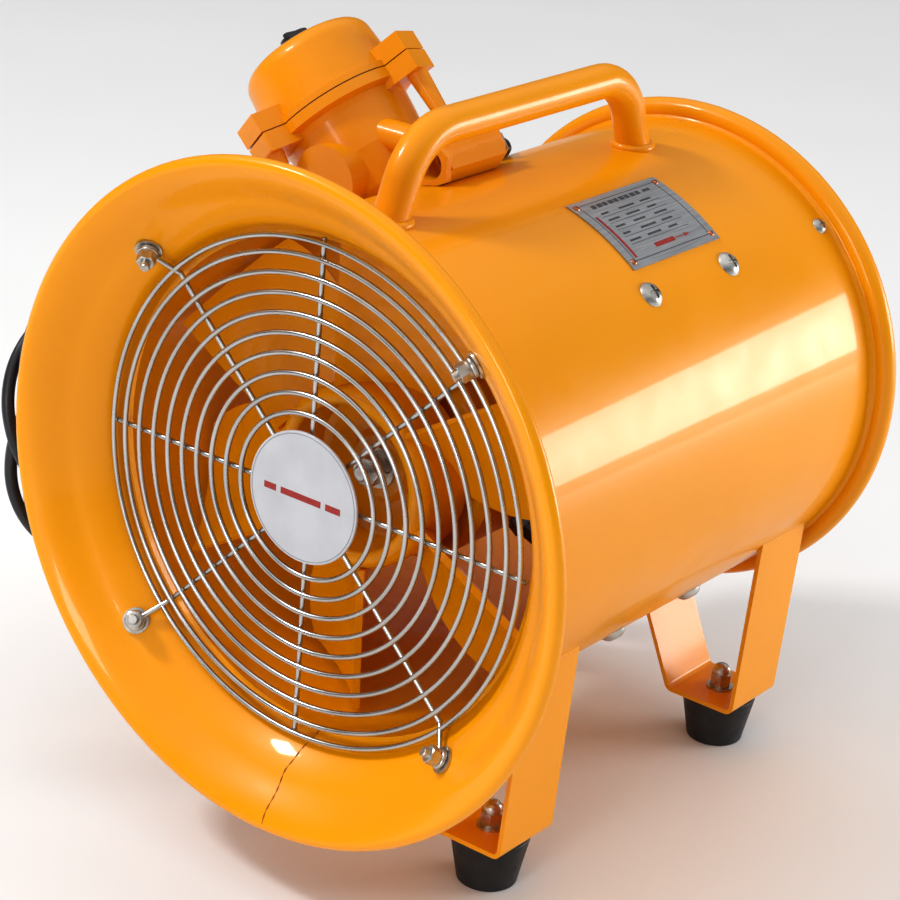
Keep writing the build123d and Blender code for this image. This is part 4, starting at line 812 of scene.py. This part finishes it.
def make_plate_print():
    """A border, ruled rows with blank entry bars, and plain bars at the sides, without letters."""
    left, right, bottom, top = 0.07, 0.93, 0.08, 0.93
    line = 0.006
    entry_columns = ((0.18, 0.30), (0.38, 0.55), (0.62, 0.76))
    plate_bar("plate_border_bottom", (left, right), (bottom, bottom + 1.5 * line))
    plate_bar("plate_border_top", (left, right), (top - 1.5 * line, top))
    plate_bar("plate_border_left", (left, left + line), (bottom, top))
    plate_bar("plate_border_right", (right - line, right), (bottom, top))
    plate_bar("plate_side_bar", (0.095, 0.12), (0.12, 0.72), RED_INK)
    rows = [0.27 + 0.105 * i for i in range(5)]
    for i, up in enumerate(rows):
        plate_bar(f"plate_rule_{i}", (0.16, 0.82), (up, up + line))
        for j, (start, end) in enumerate(entry_columns):
            shorten = 0.02 * ((i * 2 + j) % 3)
            plate_bar(f"plate_entry_{i}_{j}", (start, end - shorten), (up + 0.035, up + 0.06))
    for i in range(9):
        start = 0.17 + 0.062 * i
        plate_bar(f"plate_heading_{i}", (start, start + 0.045 + 0.006 * (i % 2)), (0.83, 0.885))
    plate_bar("plate_heading_block", (0.75, 0.83), (0.84, 0.875))
    plate_bar("plate_flow_bar", (0.36, 0.58), (0.15, 0.205), RED_INK)
    plate_bar("plate_flow_line", (0.58, 0.70), (0.172, 0.183), RED_INK)
    flow_tip = ((0.70, 0.155), (0.76, 0.1775), (0.76, 0.1775), (0.70, 0.2))
    plate_patch("plate_flow_tip", flow_tip, RED_INK)


make_plate_print()


# ---------------------------------------------------------------- disc print and painted rim shadow
disc_low, disc_high = (Vector(corner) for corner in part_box("grille_disc"))
DISC_R = (disc_high.x - disc_low.x) / 2
# A thin grey line inset from the disc's edge is painted shadow round its rim.
RIM_SHADOW_STEPS = 96
RIM_SHADOW_INSET = 1.6 * MM
RIM_SHADOW_R = 0.22 * MM
BAR_WIDTHS = (9 * MM, 30 * MM, 11 * MM)
BAR_START = -29 * MM
BAR_HALF_HEIGHT = 2 * MM
BAR_GAP = 3.5 * MM


def disc_patch(name, left, right, bottom, top):
    """A thin printed bar on the disc's face, in metres from the disc's centre."""
    corners = [(left, bottom), (right, bottom), (right, top), (left, top)]
    rings = [
        [Vector((FAN_X + x, disc_low.y - lift, AXIS_Z + z)) for x, z in corners]
        for lift in (-0.05 * MM, INK_THICKNESS)
    ]
    add_piece(name, lofted(name, rings), RED_INK, smooth=False)


def make_disc_print():
    """A thin grey line of painted shadow round the edge and one row of plain red bars."""
    front = disc_low.y - INLET_Y
    rim_shadow = [
        duct_point(front, 360 * i / RIM_SHADOW_STEPS, DISC_R - RIM_SHADOW_INSET) for i in range(RIM_SHADOW_STEPS + 1)
    ]
    bead("disc_rim_shadow_line", rim_shadow, RIM_SHADOW_R, DISC_RIM_SHADOW)
    left = BAR_START
    for i, width in enumerate(BAR_WIDTHS):
        disc_patch(f"disc_bar_{i}", left, left + width, -BAR_HALF_HEIGHT, BAR_HALF_HEIGHT)
        left += width + BAR_GAP


make_disc_print()


# ---------------------------------------------------------------- floor and light
FLOOR_HALF = 8.0
SKY_DIM_BELOW, SKY_BRIGHT_ABOVE = 0.3, 0.85
SKY_SIDES, SKY_OVERHEAD = 0.15, 1.0
VIEW_EXPOSURE = 0.12
VIEW_GAMMA = 0.82


def make_floor():
    mesh = bpy.data.meshes.new("floor")
    half = FLOOR_HALF
    corners = [(-half, -half, 0), (half, -half, 0), (half, half, 0), (-half, half, 0)]
    mesh.from_pydata(corners, [], [(0, 1, 2, 3)])
    mesh.materials.append(studio_floor())
    floor = bpy.data.objects.new("floor", mesh)
    bpy.context.collection.objects.link(floor)


def area_light(name, place, width, height, power):
    """A softbox that faces the middle of the fan."""
    data = bpy.data.lights.new(name, "AREA")
    data.shape = "RECTANGLE"
    data.size = width
    data.size_y = height
    data.energy = power
    lamp = bpy.data.objects.new(name, data)
    lamp.location = place
    lamp.rotation_euler = (Vector((0, 0, AXIS_Z)) - Vector(place)).to_track_quat("-Z", "Y").to_euler()
    bpy.context.collection.objects.link(lamp)


def make_sky(world):
    """A studio that is bright overhead and dim at the sides."""
    world.use_nodes = True
    nodes, links = world.node_tree.nodes, world.node_tree.links
    height = nodes.new("ShaderNodeSeparateXYZ")
    links.new(nodes.new("ShaderNodeTexCoord").outputs["Generated"], height.inputs["Vector"])
    strength = nodes.new("ShaderNodeMapRange")
    strength.interpolation_type = "SMOOTHSTEP"
    strength.inputs["From Min"].default_value = SKY_DIM_BELOW
    strength.inputs["From Max"].default_value = SKY_BRIGHT_ABOVE
    strength.inputs["To Min"].default_value = SKY_SIDES
    strength.inputs["To Max"].default_value = SKY_OVERHEAD
    links.new(height.outputs["Z"], strength.inputs["Value"])
    links.new(strength.outputs["Result"], nodes["Background"].inputs["Strength"])
    nodes["Background"].inputs["Color"].default_value = (1, 1, 1, 1)


def make_light():
    """The sky and three softboxes."""
    world = bpy.data.worlds.new("studio")
    make_sky(world)
    bpy.context.scene.world = world
    area_light("key_softbox", (-1.35, -1.1, 2.0), 0.35, 0.35, 26)
    area_light("front_softbox", (0.35, -2.5, 0.7), 0.7, 0.7, 18)
    area_light("back_right_softbox", (1.7, 1.9, 0.5), 1.3, 0.7, 36)
    view = bpy.context.scene.view_settings
    view.view_transform = "Standard"
    view.exposure = VIEW_EXPOSURE
    view.gamma = VIEW_GAMMA


make_floor()
make_light()
